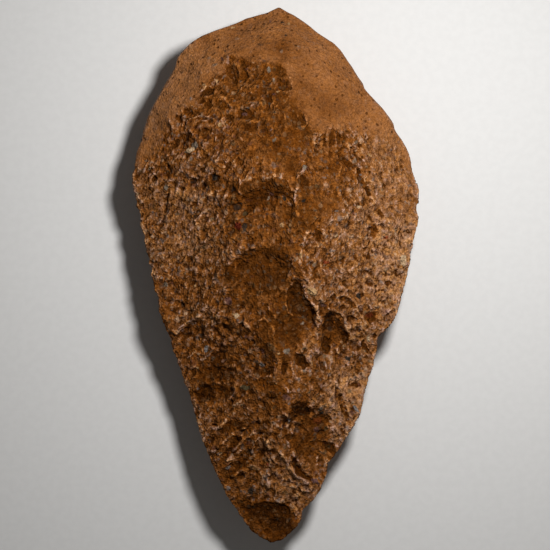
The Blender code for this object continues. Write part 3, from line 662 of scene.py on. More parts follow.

# Each row is a form, a height, a width and how pale a crest is worn and painted highlit, then the paths that
# have them.
LINES = tuple(Line(form, pairs(path), *size) for form, *size, paths in (
    # The long crest that parts the two flanks, down the right of the steps, and the boldest lips on the left.
    (Form.RIDGE, 0.9, 0.8, 0.9, (
     (9.8, 36.4, 8, 34, 6.6, 31.4, 6.3, 29.6), (8, 28.4, 6.6, 28, 6.4, 24, 6.8, 20, 7.2, 18),
     (11, 16, 9, 11, 8, 6, 7.5, 2),
     (7.1, -0.2, 8.8, -3.3, 9.9, -5.6, 10.3, -7.3, 12.6, -9.6, 13.4, -11.5, 13.4, -13.6, 13.2, -16),
     (-36.5, -16.5, -34.5, -18, -32.8, -19.6),
     (-33.5, -18.5, -31, -16.8, -29, -15.5, -26.5, -13.8, -24.8, -13.9),
     (-24.4, -19.2, -22.5, -16.5, -20.8, -14.5, -19, -12.8, -17.3, -11),
    )),
    # The lesser lips and crests round the steps and over both flanks.
    (Form.RIDGE, 0.6, 0.55, 0.8, (
     (6.6, 0.4, 5, -2.2, 3.4, -5, 3, -8.5, 3.4, -11, 4.8, -12.8, 6.4, -13.2),
     (13.6, -12.6, 13.7, -10.6, 14.6, -9, 16, -8.4, 17.4, -9), (13.6, -13.4, 15, -13.4, 16.4, -12.4),
     (22.4, -13.2, 22.8, -16, 23.5, -17.8, 24.8, -19.6, 25.6, -21.8),
     (19.8, -20.4, 21.4, -21.8, 22.6, -23.8), (20.3, -23.6, 20.5, -25, 21, -26.6),
     (9.4, -25.4, 10.9, -28, 12, -30.4), (5.2, -26, 5.3, -29, 5.6, -33, 5, -36), (3.2, -36.8, 4.4, -39.2),
     (28.4, -22.4, 29, -24.6, 29.6, -26.6), (-22.8, -10.6, -21.4, -8.4, -20.2, -5.6),
     (-24.8, -12.2, -23.4, -10.2, -22.4, -8.6), (-21.8, -17.6, -19.8, -15, -18.2, -13.4),
     (-19.4, -9.8, -17.5, -8.8, -15, -10, -13, -11.2), (-10.4, -14.6, -9.8, -16.5, -8, -18, -6.3, -19.5),
     (-8.2, -15.4, -5.4, -15, -4, -14.3, -2.4, -15.8, -1.2, -18.5, -1, -20.5, 0.6, -22.2),
     (-4.8, -3, -4.2, -8, -2.5, -11, -1, -13, 0.5, -14.6),
     (-18, -32.2, -15, -30.2, -13.2, -30.5, -11.8, -33),
     (-10.2, -33.4, -6, -34, -3, -33.4, 0, -34.2, 2, -33.8),
     (-25, -36.6, -21, -36, -17.5, -36.6, -14.6, -35.4), (-16, -42.4, -13.8, -39.6, -12.4, -37.2),
     (-26, -28.6, -23, -27, -20.6, -24.4), (-30, -28, -27.4, -25.6, -25.6, -23.4),
     (2.6, 39.4, 2.2, 37.6, 2.6, 36), (6, 40.4, 8, 37.6, 9.4, 36), (3.6, 31.6, 4.8, 29.6, 5.6, 27.8),
     (-13, 33.5, -11.6, 30, -12, 26), (-19, 22.5, -17, 26, -15.6, 29), (-27.4, 17.6, -24.6, 20.4, -21.4, 23),
     (-30.4, 13.4, -27.6, 16, -25.4, 17.6), (5.5, 8, 5.4, 4, 4, 0, 3, -3),
     (24.4, -17.2, 26.5, -16.2, 28.4, -15.4), (29, -19, 31.5, -18, 33.8, -16.8),
     (13.4, 47.4, 13, 45, 13.6, 42.6),
    )),
    # Fine ribs at the top of both flanks.
    (Form.RIDGE, 0.6, 0.45, 0.6, (
     (16.6, 48.4, 18.6, 48.8, 20, 47.6), (19.4, 46.6, 19.8, 44.6, 20, 42.6),
     (21.8, 46.8, 22, 44.6, 21.8, 42), (24, 42.6, 24, 40.6, 25.4, 39.4), (26.8, 41.8, 28.4, 42.6, 29.2, 41),
     (21.4, 37.4, 21.2, 35, 20.4, 32.6), (-37, 53.5, -34.8, 50, -34.6, 46),
     (-35.4, 51.4, -33.6, 48, -33.2, 44.6), (-30.6, 49.8, -28.6, 51.8, -25.6, 52.9, -22.4, 52.6, -20, 51),
     (-25.4, 49.4, -23.8, 46.6, -23.4, 44.6),
     # Fans in the bowl below the butt.
     (-16.6, 63.6, -15.6, 60, -14.6, 57), (-14.6, 63, -14.4, 60, -14.2, 57.4),
     (-11, 62.6, -12.4, 60, -13.8, 57.2), (1.2, 60, -0.4, 57.4, -1.8, 54.8),
     (2.8, 58.4, 1, 56.4, -0.8, 54.6), (-4.4, 59, -3.6, 56.8, -3, 54.6),
     (-21.6, 63.4, -19.6, 65.6, -18.4, 68.2), (-9.8, 70, -9.2, 68, -8.6, 66),
     (-0.8, 64.2, -1.6, 63, -2.8, 62.2), (3.2, 60, 4.4, 61, 5.6, 61.9),
     (-26.7, 50.4, -25.4, 51.4, -22.2, 51), (-11, 48.4, -8.8, 50.6, -5.6, 50.6),
     (-13.2, 55.2, -10, 55.6, -6.4, 54.8), (8.8, 53.4, 9.9, 51.4, 9.6, 49.4),
     (-20.6, 58.8, -17, 58.4, -14.8, 55.6), (-25, 60.4, -22.6, 63, -20.2, 62.6),
     (-17.2, 67.4, -17.4, 70, -15.4, 72.4), (-12.4, 68.8, -12, 66.4, -12.8, 63.4),
     (4.6, 66.4, 5.2, 64, 5.4, 61), (-5.2, 63.2, -3.8, 61.6, -2.6, 60),
     (-16.8, 62, -15.4, 59.4, -14.6, 57.4), (-9, 63.4, -8.4, 61, -7.2, 59),
     (-19.6, 63.8, -19.4, 66, -18.6, 67.6), (4.4, 59.4, 3.4, 57.2, 1.6, 55.6),
     (-6, 57.4, -4.6, 56.2, -3.4, 54.6), (2.4, 54, 3, 52, 2.2, 50.2), (-28.6, 49, -27.6, 47, -27.4, 45),
     (-21.4, 47.6, -20.2, 45.6, -20, 43.6), (-12.4, 47, -11.4, 45, -9.6, 43.8),
     (-6, 46.4, -4, 45.6, -2.6, 44),
    )),
    # Ripples that fan out from the blows towards the tip.
    (Form.RIDGE, 1.3, 0.85, 0.9, (
     (0.3, -57.2, 2, -59.5, 3.2, -61.5, 4.2, -63.6, 5.4, -65.8, 8, -68.2, 12, -70.2),
     (-19.8, -57.8, -16.6, -55, -14.8, -53.3, -13.8, -52.2), (-17.4, -62.8, -14, -60.5, -11.4, -57.8),
     (-2.8, -54.4, -2.4, -56.4, -2.5, -58.8), (1.6, -43.8, 3, -46, 3.8, -48),
     (-22.3, -54.6, -20, -52.2, -17.6, -49.8, -16.4, -48),
     (-15.7, -59.9, -13.4, -57.8, -11.4, -55.8, -9.4, -53.8), (4.8, -77, 6.2, -79, 6.4, -81.6),
     (-3.2, -64.8, -2.8, -68, -2.4, -71.4),
    )),
    (Form.RIDGE, 0.9, 0.65, 0.9, (
     (-8.2, -60, -7, -56.6, -5, -53), (-12.6, -62.8, -10.8, -60.4, -9.4, -58),
     (-19.8, -60.8, -17.6, -59, -15.4, -56.6), (-13, -55, -10.8, -53), (1.6, -75, 3.2, -76.4),
     (7.6, -71.6, 10, -72.4, 12.4, -71.4), (19.6, -49.8, 21, -52.8, 21.8, -56), (18.6, -50.4, 20.2, -54),
     (-0.4, -50, 1, -50.4, 2, -52.4, 2.4, -54), (3.2, -49.6, 3.8, -51.6, 4.2, -53.4),
     (5, -50.6, 5.4, -52, 5.5, -53.6), (3.4, -54.6, 4.4, -57, 6, -60, 7.2, -62.4, 8.2, -64.4),
     (10.4, -50.6, 11.4, -53.4, 12, -56), (-22.4, -59.6, -19.6, -57.8, -17, -56),
     (-10.8, -55.8, -8.4, -53.4, -6.4, -52), (-8.8, -58, -7.2, -56, -6.2, -54.4),
     (-13.6, -52.6, -11.4, -51.2, -9.4, -50.8), (-1.2, -60, -0.4, -62, 0.4, -63.4),
     (-2.8, -60, -2.2, -62, -2.2, -64.6), (-5.6, -65, -4.6, -68, -4.4, -71),
     (-2.6, -65.6, -2.6, -68.4, -2.4, -71.4), (1.8, -66, 1.8, -68.4, 1.4, -71),
     (-0.2, -70.6, 0, -73.4, -0.4, -75.6), (4, -67, 5, -69.4, 7, -71.4),
     (4.4, -64, 7.4, -67.4, 10, -69.8, 12.8, -71.8), (0, -63.8, 0.2, -67, 0, -70.2),
     (14, -57, 15, -59, 15.4, -61), (13.6, -60.4, 13.4, -62.4, 14, -64.4),
     (-15.6, -68, -13, -66.2, -10, -65), (-10, -63.2, -7.4, -63.6, -5, -64.6),
     (22.4, -40.4, 23.6, -43.4, 24.4, -46.4, 25, -50), (19.4, -35.4, 20.6, -38, 22, -40.4),
     (18, -42.4, 19.6, -45, 20.4, -47.6),
    )),
    # Cracks and the shadowed feet of lips.
    (Form.GROOVE, 1.2, 0.8, 0.9, (
     (-36, 37.5, -36.4, 34.6, -36.6, 32), (-36.2, 28, -37.2, 25, -37.4, 22.6, -38, 20.8),
     (6.4, -61, 7.6, -64.4, 10, -67),
    )),
    (Form.GROOVE, 0.7, 0.6, 0.9, (
     (34.5, 35, 35.8, 32, 36.6, 28.5), (24, -36.8, 26, -36.4, 28.4, -36.8),
     (-14.6, 68, -14.2, 65.6, -13.6, 63.4), (3.4, -29.6, 2.8, -31.6, 2.2, -33.2),
    )),
    # The edges of the lower step, of the snapped tip and of the scars between them.
    (Form.SCARP, 0.7, 0.8, 0.9, (
     (4.6, 7, 4, 9.2, 0, 9.8, -2, 8.4, -3.5, 7.6, -6, 9.4, -10, 8.2, -13.8, 4.8),
     (5.6, -79.8, 3.4, -77.2, 1, -75.8, -3, -75.7, -8, -77.2, -10, -78.6),
     (27, -12, 26.4, -9.4, 24.8, -7.4, 22.6, -6.4, 20.4, -6.8),
    )),
    (Form.SCARP, 0.25, 0.8, 0.9, (
     (-16.6, -46.8, -17.5, -48, -18.8, -49.6, -19.6, -51, -21, -51.4, -22.2, -50.6),
    )),
    (Form.SCARP, 0.2, 0.8, 0.9, (
     (23.4, -17.6, 22.8, -14.6, 20.6, -12.2, 18, -10.4, 16.6, -10.8),
    )),
    # Where the weathered skin of the butt gives way to worked stone.
    (Form.SCARP, 0.5, 1.3, 0.9, (
     (5, 71, 0, 70.5, -8, 71.5, -15, 73.5, -20, 67, -25, 61, -31, 57),
     (12, 50, 8.6, 53, 7.4, 57, 6, 62, 3.4, 68), (28, 48.6, 23, 49.4, 18, 49.6, 13, 49.6),
    )),
) for path in paths)

PITS = tuple(Pit(*row) for row in (
    # Over the right flank and low on the right.
    (15, -52.5, 2.5, 2, 0, 0.8), (17.9, -9.7, 1.8, 1.2, 65, 0.8), (34, -4, 1.6, 1.4, 0, 0.7),
    (27.3, -18.4, 2, 1.8, 0, 0.6), (33.3, -20.6, 1.4, 1.4, 0, 0.6), (25, -14.6, 3, 2.4, 0, 0.6),
    (25.6, -23.6, 3.4, 2.6, 120, 0.7), (29.4, -23.8, 2.8, 1.6, 100, 0.7),
    # Pockets in the bowl below the butt.
    (-22.2, 61.4, 3.2, 2.6, 40, 0.8), (-22.4, 58.2, 1.6, 1.3, 0, 0.6), (-14.6, 67, 5, 2.6, 112, 0.9),
    (-29, 54, 2.6, 2, 20, 0.8), (-6.6, 66.2, 3.2, 1.5, 75, 0.7), (-3, 63, 2.4, 2, 0, 0.5),
    (1.5, 63.7, 2.4, 1.8, 0, 0.6), (0, 68, 2, 1.4, 0, 0.5), (2.6, 67.4, 2, 1.6, 0, 0.5),
    (-9.6, 53.4, 4.4, 2.4, 175, 0.9), (-6, 52.6, 1.8, 2.2, 0, 0.7), (-7.8, 48.6, 1.8, 2.8, 0, 0.7),
    (-2.3, 58, 4.2, 2, 100, 0.8), (7.4, 51, 3.2, 2.6, 0, 0.9), (10.4, 47.4, 2.4, 2, 0, 0.7),
    (-30.6, 50, 2.4, 1.2, 60, 0.6), (-23.7, 47, 3, 1.1, 90, 0.6), (-11.6, 70.6, 2.2, 1.6, 0, 0.5),
    (-16.6, 56.4, 2.4, 1.8, 30, 0.5), (3.6, 57, 2.4, 2, 60, 0.5), (-33.6, 53, 1.4, 1.2, 0, 0.6),
    # Pockets over the two flanks.
    (-20.5, 32.6, 3.2, 2.4, 160, 1), (-41, 32.4, 1.8, 1.6, 0, 0.9), (-33, 44, 3.5, 2.2, 70, 0.6),
    (-24.4, 35.4, 2.6, 1.8, 20, 0.6), (-28.2, 31, 2.6, 1.8, 20, 0.6), (-24.6, 30, 1.4, 1.6, 0, 0.6),
    (-14.6, 28.4, 3, 1.8, 110, 0.8), (-13, 23, 3.6, 2.4, 20, 0.9), (-9, 22.2, 2.6, 1.8, 20, 0.7),
    (-10.6, 20.6, 2.2, 1.8, 0, 0.6), (-39, 16.6, 2.4, 1.4, 0, 0.6), (-24, 14, 2.2, 3, 0, 0.6),
    (-14.6, 14, 3, 2.4, 20, 0.6), (-31, 23, 2, 1.4, 30, 0.5), (-41, 10, 2.6, 1.4, 30, 0.6),
    (-12, 3, 2, 1.6, 0, 0.5), (9.4, 30.6, 3.4, 2.4, 80, 0.8), (9, 24.4, 3, 2, 20, 0.7),
    (6.4, 18, 1.6, 1.2, 0, 0.6), (6.6, 13.4, 3, 1.6, 50, 0.7), (13.5, 13, 4.4, 2.6, 110, 0.8),
    (32.5, 14, 2.6, 1.8, 60, 0.7), (30.8, 6.5, 2.4, 1.6, 70, 0.7), (13.5, 1.5, 2.6, 1.8, 80, 0.7),
    (22, 5.4, 2.4, 1.6, 40, 0.7), (31.6, -2.8, 3, 1.8, 150, 0.8), (37.8, -2.6, 2.6, 2, 20, 0.7),
    (28.4, -6.5, 1.6, 1.6, 0, 0.6), (40, 1, 1.4, 2.6, 0, 0.6), (22.6, -3, 2.4, 1.4, 120, 0.6),
    (13, 21, 1.6, 1.6, 0, 0.6), (25.6, 21, 1.2, 2.2, 0, 0.6), (18.6, 47.6, 1.6, 3.6, 165, 0.8),
    (21.6, 44.6, 1.4, 3.2, 165, 0.7), (16.4, 43.6, 1.4, 3, 165, 0.6), (24.6, 41.6, 1.4, 2.6, 165, 0.6),
    (28, 43, 1.6, 1.6, 0, 0.6), (-31.6, -9.8, 1.6, 1.8, 0, 0.8), (-32, 5, 4, 1.8, 40, 0.5),
    (-37, -3, 3, 2, 10, 0.5), (-29, -12, 2, 1.2, 30, 0.6),
    # Pockets in the lower half and towards the tip.
    (-27.5, -32, 4, 2.6, 60, 0.6), (-20.8, -31, 3, 2, 130, 0.7), (-22, -35, 2.4, 1.8, 30, 0.7),
    (-26.6, -41, 4, 2.4, 120, 0.7), (-19, -34.6, 1.6, 2.4, 0, 0.6), (-25.4, -20, 2.4, 2, 0, 0.6),
    (-16.6, -15, 1.6, 2.4, 0, 0.6), (1.4, -16.4, 1.8, 1.8, 0, 0.7), (-6.6, -16.8, 1.6, 1.2, 0, 0.6),
    (-7.4, -22, 1.6, 1.6, 0, 0.6), (-21, -50.3, 1.6, 1.4, 0, 1.1), (-6.4, -49.6, 1.8, 1.6, 0, 0.7),
    (-12, -51.6, 3, 1.8, 0, 0.6), (-5.6, -53, 2.4, 1.6, 0, 0.6), (-15, -42, 1.2, 1.2, 0, 0.9),
    (-3, -32, 3, 2, 0, 0.7), (-1.4, -41, 2.6, 1.4, 0, 0.7), (-12, -67.6, 2, 2, 0, 0.6),
    (2.4, -80, 4, 3, 150, 0.6), (0.8, -84, 4.4, 2.6, 160, 0.8), (-3.4, -86, 2, 1.6, 0, 0.6),
    (-11.6, -78, 2, 1.4, 40, 0.5), (6.6, -75.8, 1.6, 1, 0, 0.6),
))

PALE_QUARTZ = (0.50, 0.34, 0.20)
CREAM = (0.44, 0.26, 0.12)
GREY_QUARTZ = (0.21, 0.160, 0.118)
BLUE_GREY = (0.19, 0.165, 0.155)
SLATE = (0.036, 0.026, 0.019)
OLIVE = (0.085, 0.062, 0.030)
PLUM = (0.12, 0.058, 0.050)
BLUSH = (0.34, 0.185, 0.125)
RUST_RED = (0.30, 0.065, 0.022)
DARK_RED = (0.14, 0.022, 0.010)

PEBBLES = tuple(Pebble(*row) for row in (
    # On the butt.
    (-29, 77, 3.4, 1.4, 50, BLUSH, 0.45), (-22.4, 72.6, 1.8, 1.2, 30, GREY_QUARTZ, 0.45),
    (-13, 79.4, 2, 1.4, 0, OLIVE, 0.35), (-36.2, 63.6, 1.8, 1.1, 40, BLUSH, 0.5),
    (-1.6, 86.4, 2.2, 1.8, 0, PLUM, 0.3), (-2, 85.2, 1.2, 0.8, 50, PLUM, 0.6),
    (-14.2, 83.2, 1.8, 1.1, 20, CREAM), (4.3, 84.6, 1.5, 1.3, 0, CREAM, 0.8),
    (2, 84.9, 2, 0.8, 10, SLATE, 0.7), (3, 80.6, 0.9, 0.9, 0, SLATE, 0.7),
    (-12.8, 79, 2.8, 1.6, 10, GREY_QUARTZ, 0.4), (-28, 76.6, 2.4, 1.8, 20, CREAM, 0.35),
    (-5, 76.8, 2, 0.8, 0, SLATE, 0.5), (7.6, 75.9, 1, 0.9, 0, GREY_QUARTZ, 0.7),
    (1.8, 74.6, 1.7, 1.6, 0, GREY_QUARTZ, 0.45), (-17, 74.8, 1.3, 1, 0, SLATE, 0.6),
    (-20.4, 70.2, 3, 1.4, 10, GREY_QUARTZ, 0.5), (-17.8, 72, 0.8, 1.7, 0, PLUM, 0.7),
    (-28.5, 58.5, 1.5, 2, 0, BLUE_GREY, 0.5), (-23.7, 63.4, 0.9, 0.8, 0, CREAM, 0.8),
    (30, 60, 2, 1.4, 30, PLUM, 0.3), (27, 58, 1.2, 1.2, 0, SLATE, 0.45),
    (10.6, 60, 1.2, 1.6, 0, GREY_QUARTZ, 0.3), (-40, 54, 1.4, 1, 120, SLATE, 0.6),
    # In the bowl below it.
    (-16, 71.5, 1.4, 3.6, 0, BLUSH, 0.7), (-19.5, 64.5, 1, 2, 0, CREAM, 0.7),
    (-2.4, 68, 1.6, 2.2, 0, GREY_QUARTZ, 0.75), (-1, 64.6, 1, 1.6, 0, GREY_QUARTZ, 0.7),
    (-1.8, 61.6, 1.2, 1, 0, SLATE, 0.7), (0.8, 60.7, 0.9, 0.8, 0, CREAM),
    (-0.5, 59.6, 1.4, 1.3, 0, PLUM, 0.6), (-8, 56, 2, 1, 30, BLUSH, 0.7),
    (-10.3, 53.3, 2.8, 1.8, 0, PLUM, 0.6), (-18.8, 50.1, 1.8, 1.5, 0, CREAM, 1),
    (-1.4, 48, 1.6, 1, 45, BLUSH, 0.7), (-0.7, 44.8, 2, 1.1, 45, GREY_QUARTZ, 0.9),
    (-9.6, 68.6, 1.1, 1.1, 0, PLUM, 0.6), (-27.2, 43.2, 2.4, 2.2, 0, GREY_QUARTZ, 1, 0.3),
    (-28.8, 41.7, 3.4, 1.8, 20, PALE_QUARTZ, 1, 0.3),
    # Down the left flank.
    (-42.6, 35.8, 1.4, 1.1, 0, PALE_QUARTZ), (-36.8, 29.4, 1.6, 2.4, 160, GREY_QUARTZ, 0.9),
    (-12.6, 16.2, 2.8, 3.6, 0, DARK_RED, 0.9, 0), (-10.5, 15.9, 1.6, 3.4, 0, SLATE, 0.7, 0),
    (-20.3, 32.6, 2.6, 2.6, 0, SLATE, 0.75, 0), (-13, 22.6, 2.8, 2.4, 0, SLATE, 0.55, 0),
    (-16.2, 23.2, 2.2, 1.6, 0, SLATE, 0.5, 0), (-15.3, 14, 2.6, 1.8, 0, SLATE, 0.5, 0),
    (-28, 31, 1.8, 1.6, 0, SLATE, 0.6, 0), (-10.4, 20.4, 2, 1.8, 0, OLIVE, 0.6, 0),
    (-38, 11.5, 1.6, 2.2, 0, BLUE_GREY, 0.5), (-43, 15, 2.4, 1.8, 40, OLIVE, 0.4),
    (-41, 23, 2.2, 3, 0, OLIVE, 0.4), (-29, 25.4, 2.6, 1.6, 20, GREY_QUARTZ, 0.35),
    (-31, 23.2, 2, 2.6, 0, PLUM, 0.5), (-27, 19.6, 1.2, 1.4, 0, SLATE, 0.6),
    (-24.4, 30.2, 1.6, 2, 0, SLATE, 0.5), (-28.2, 16, 2.6, 1.6, 30, BLUSH, 0.5),
    (-24, 9.6, 2, 2, 0, OLIVE, 0.5), (-17, 21.4, 2.6, 2, 0, GREY_QUARTZ, 0.35),
    (-14.4, 28.2, 1.4, 1.8, 0, SLATE, 0.6), (-32.6, 1.6, 1.8, 2.2, 0, SLATE, 0.6),
    (-20.4, -0.6, 1.6, 2.4, 0, SLATE, 0.6), (-37, -3, 1.8, 1.6, 0, GREY_QUARTZ),
    (-39.6, 6, 1.6, 2.2, 0, GREY_QUARTZ, 0.35), (-27, -3.6, 1, 1.4, 0, CREAM, 0.7),
    # Down the steps.
    (2.9, 25.2, 1.8, 1.4, 0, SLATE, 0.85), (-2.7, 25.4, 2.2, 1.2, 60, GREY_QUARTZ, 0.6),
    (-1.7, 26.9, 1.6, 1.2, 0, PLUM, 0.6), (2.2, 16.8, 2, 2.2, 60, CREAM, 0.55),
    (4.6, 16.4, 1, 1.6, 0, CREAM, 0.5), (3.6, 6.4, 1, 1.6, 0, SLATE, 0.6),
    (-15.8, -8.4, 3, 3.4, 30, PLUM, 0.6), (-13, -13.4, 2, 1.7, 0, PALE_QUARTZ, 0.85),
    (-14.2, -12.8, 1.2, 1, 0, CREAM, 0.8), (8.7, -15.8, 1.7, 1, 20, GREY_QUARTZ, 0.7),
    (-8.2, -20.8, 2, 2.2, 0, BLUSH, 0.4), (-9.9, -20.2, 1.2, 1.4, 0, PLUM, 0.6),
    (0.4, -12.6, 1.4, 1, 30, GREY_QUARTZ, 0.5),
    # Over the right flank.
    (9.4, 35.6, 1.8, 1.3, 60, GREY_QUARTZ, 0.8), (31.4, 39.9, 2, 0.9, 160, CREAM, 0.8),
    (26, 38, 1.4, 2, 0, GREY_QUARTZ, 0.6), (26.5, 44.3, 1.2, 2, 0, GREY_QUARTZ, 0.6),
    (28.3, 33.3, 1.4, 1.2, 0, BLUE_GREY, 0.6), (23.5, 32, 2.6, 2.2, 0, GREY_QUARTZ, 0.35),
    (17, 29.5, 2.6, 2.2, 0, GREY_QUARTZ, 0.4), (13.5, 29.3, 2, 1.8, 0, OLIVE, 0.5),
    (15.8, 32.5, 1.5, 1.3, 0, BLUE_GREY, 0.5), (9.2, 24.5, 2.4, 1.9, 20, SLATE, 0.75),
    (27.6, 22.9, 1.9, 0.8, 10, PALE_QUARTZ, 1), (20, 21.3, 1.5, 1.3, 0, BLUE_GREY, 0.6),
    (25.6, 21.2, 1, 1.6, 0, SLATE, 0.7), (13.2, 21, 1.4, 1.3, 0, SLATE, 0.6),
    (19.8, 13.2, 1.4, 1.3, 0, PALE_QUARTZ, 0.8), (36.9, 12.8, 2, 1.3, 50, RUST_RED, 0.7),
    (36.6, 14.8, 1.8, 1.4, 0, PLUM, 0.4), (16.6, 4.2, 3, 1.4, 170, RUST_RED, 0.9, 0.2),
    (13.8, 6.6, 1.2, 2.4, 170, BLUSH, 0.7), (8, 6.4, 1.3, 2.2, 0, CREAM, 0.7),
    (42.7, 5.2, 2.4, 4.4, 10, PALE_QUARTZ, 1, 0.3), (41.8, 1.8, 2, 2.2, 0, GREY_QUARTZ, 0.4),
    (11.9, -5.5, 3.6, 3, 160, CREAM, 0.8, 0.4), (27.6, -6.6, 1.8, 2.2, 0, SLATE, 0.8),
    (26.2, -4.2, 1, 1, 0, GREY_QUARTZ, 0.7), (28, -11, 3, 1.5, 115, BLUSH, 0.7),
    (32, -12, 1, 1.2, 0, CREAM, 0.7), (31.2, -13.2, 3.4, 2, 0, DARK_RED, 0.5),
    (31.2, -21.3, 1.4, 2, 0, PALE_QUARTZ, 0.95), (16, -9.8, 2, 1.6, 0, PLUM, 0.5),
    (24, -28, 2.4, 1.1, 125, SLATE, 0.8), (25, -27.6, 1.2, 1, 0, BLUE_GREY, 0.7),
    (21.6, 7.4, 1.4, 1.6, 0, SLATE, 0.4), (33.4, 8, 1.4, 2.4, 150, BLUSH, 0.4),
    # Low on the left and in the middle.
    (3.5, -25.3, 2.4, 2.2, 0, GREY_QUARTZ, 0.75, 0.2), (0.8, -25.8, 1.5, 1, 0, CREAM, 0.7),
    (-1.5, -24, 3.2, 3.4, 0, OLIVE, 0.45), (-4.4, -25.2, 1.4, 2, 0, PLUM, 0.6),
    (-4.2, -29.8, 1.8, 1.5, 0, BLUE_GREY, 0.85), (-23.4, -24.6, 2.8, 1.8, 60, BLUE_GREY, 0.8),
    (-21.4, -25.3, 1.5, 1.2, 0, SLATE, 0.6), (-17.5, -28.3, 2, 0.9, 50, BLUSH, 0.6),
    (-26.5, -31, 1.5, 0.9, 0, CREAM, 0.8), (-25.2, -20.2, 1.6, 1.8, 0, SLATE, 0.6),
    (-10.2, -37.4, 4, 1.7, 5, OLIVE, 0.85), (0, -36, 1, 0.8, 0, CREAM, 0.7),
    (-26.5, -38, 1.4, 1.7, 0, BLUE_GREY, 0.6), (-18, -22.6, 3.4, 1, 175, BLUSH, 0.4),
    (-8.8, -32, 1.8, 1.6, 0, BLUSH, 0.5), (-31.6, -9.8, 1.4, 1.6, 0, SLATE, 0.6),
    (3.6, -40.6, 3, 2.4, 0, PLUM, 0.6),
    # Towards the tip.
    (26.9, -45, 3, 1.2, 120, BLUE_GREY, 0.95, 0.2), (25.5, -46.2, 1.8, 2, 0, PLUM, 0.5),
    (14.8, -44.8, 2.4, 1.4, 30, GREY_QUARTZ, 0.8), (15.2, -46, 2.4, 1, 20, SLATE, 0.8),
    (4, -48.3, 1.4, 1.2, 0, BLUE_GREY, 0.7), (-8, -58.8, 1.4, 1.8, 0, BLUE_GREY, 0.5),
    (13.5, -51.5, 2.4, 2.2, 0, PLUM, 0.6), (17, -51.5, 2, 2.6, 0, OLIVE, 0.6),
    (14, -48.6, 4, 2.6, 0, DARK_RED, 0.4), (21, -53, 2, 3.4, 10, BLUSH, 0.5),
    (-16.2, -64.5, 2, 1.6, 0, BLUE_GREY, 0.75), (-7.5, -64.4, 4.4, 1.5, 165, CREAM, 0.45),
    (-3.2, -63.4, 1.2, 1.8, 0, RUST_RED, 0.6), (-4.6, -68, 1.4, 3.6, 170, GREY_QUARTZ, 0.4),
    (13, -69.2, 3.6, 1.6, 150, PLUM, 0.9), (-16, -71.6, 1.6, 1.4, 0, BLUE_GREY, 0.6),
    (-8.4, -72.4, 2.4, 3, 150, SLATE, 0.7), (5, -71.4, 3.4, 2, 20, GREY_QUARTZ, 0.4),
    (3, -73, 2.4, 2, 0, OLIVE, 0.5), (-13.6, -68.8, 1.8, 2.4, 0, SLATE, 0.45),
))


# --- The stone's finish --------------------------------------------------------------------------------


class Mask(Enum):
    """The values kept at each point of the skin for the finish to read."""

    WEATHERED = "weathered"
    STANDING = "standing"
    TONE = "tone"
    SMOOTH = "smooth"
    PEBBLE = "pebble_tint"
    POCKET = "pocket"
    STAIN = "stain_and_shade"
    CREST = "crest"


@dataclass(frozen=True)
class Ramp:
    """A range of values from low to high, and what its two ends become."""

    low: float
    high: float
    start: float = 0.0
    end: float = 1.0


WHITE = (1.0, 1.0, 1.0)
Inputs = dict[str | int, object]


def rgba(colour: Colour, light: float = 1.0) -> tuple[float, float, float, float]:
    """A colour with its alpha, made lighter or darker."""
    return (*(part * light for part in colour), 1.0)


def group_with(name: str, inputs: tuple[str, ...], outputs: tuple[str, ...]) -> bpy.types.NodeTree:
    """An empty shader node group that reads a Vector and named values and gives named values.

    Args:
        name: The group's name.
        inputs: The names of its value inputs.
        outputs: The names of its value outputs.

    Returns:
        The group, holding only its input and output nodes.
    """
    group = bpy.data.node_groups.new(name, "ShaderNodeTree")
    group.interface.new_socket(name="Vector", in_out="INPUT", socket_type="NodeSocketVector")
    for labels, way in ((inputs, "INPUT"), (outputs, "OUTPUT")):
        for label in labels:
            group.interface.new_socket(name=label, in_out=way, socket_type="NodeSocketFloat")
    group.nodes.new("NodeGroupInput")
    group.nodes.new("NodeGroupOutput")
    return group


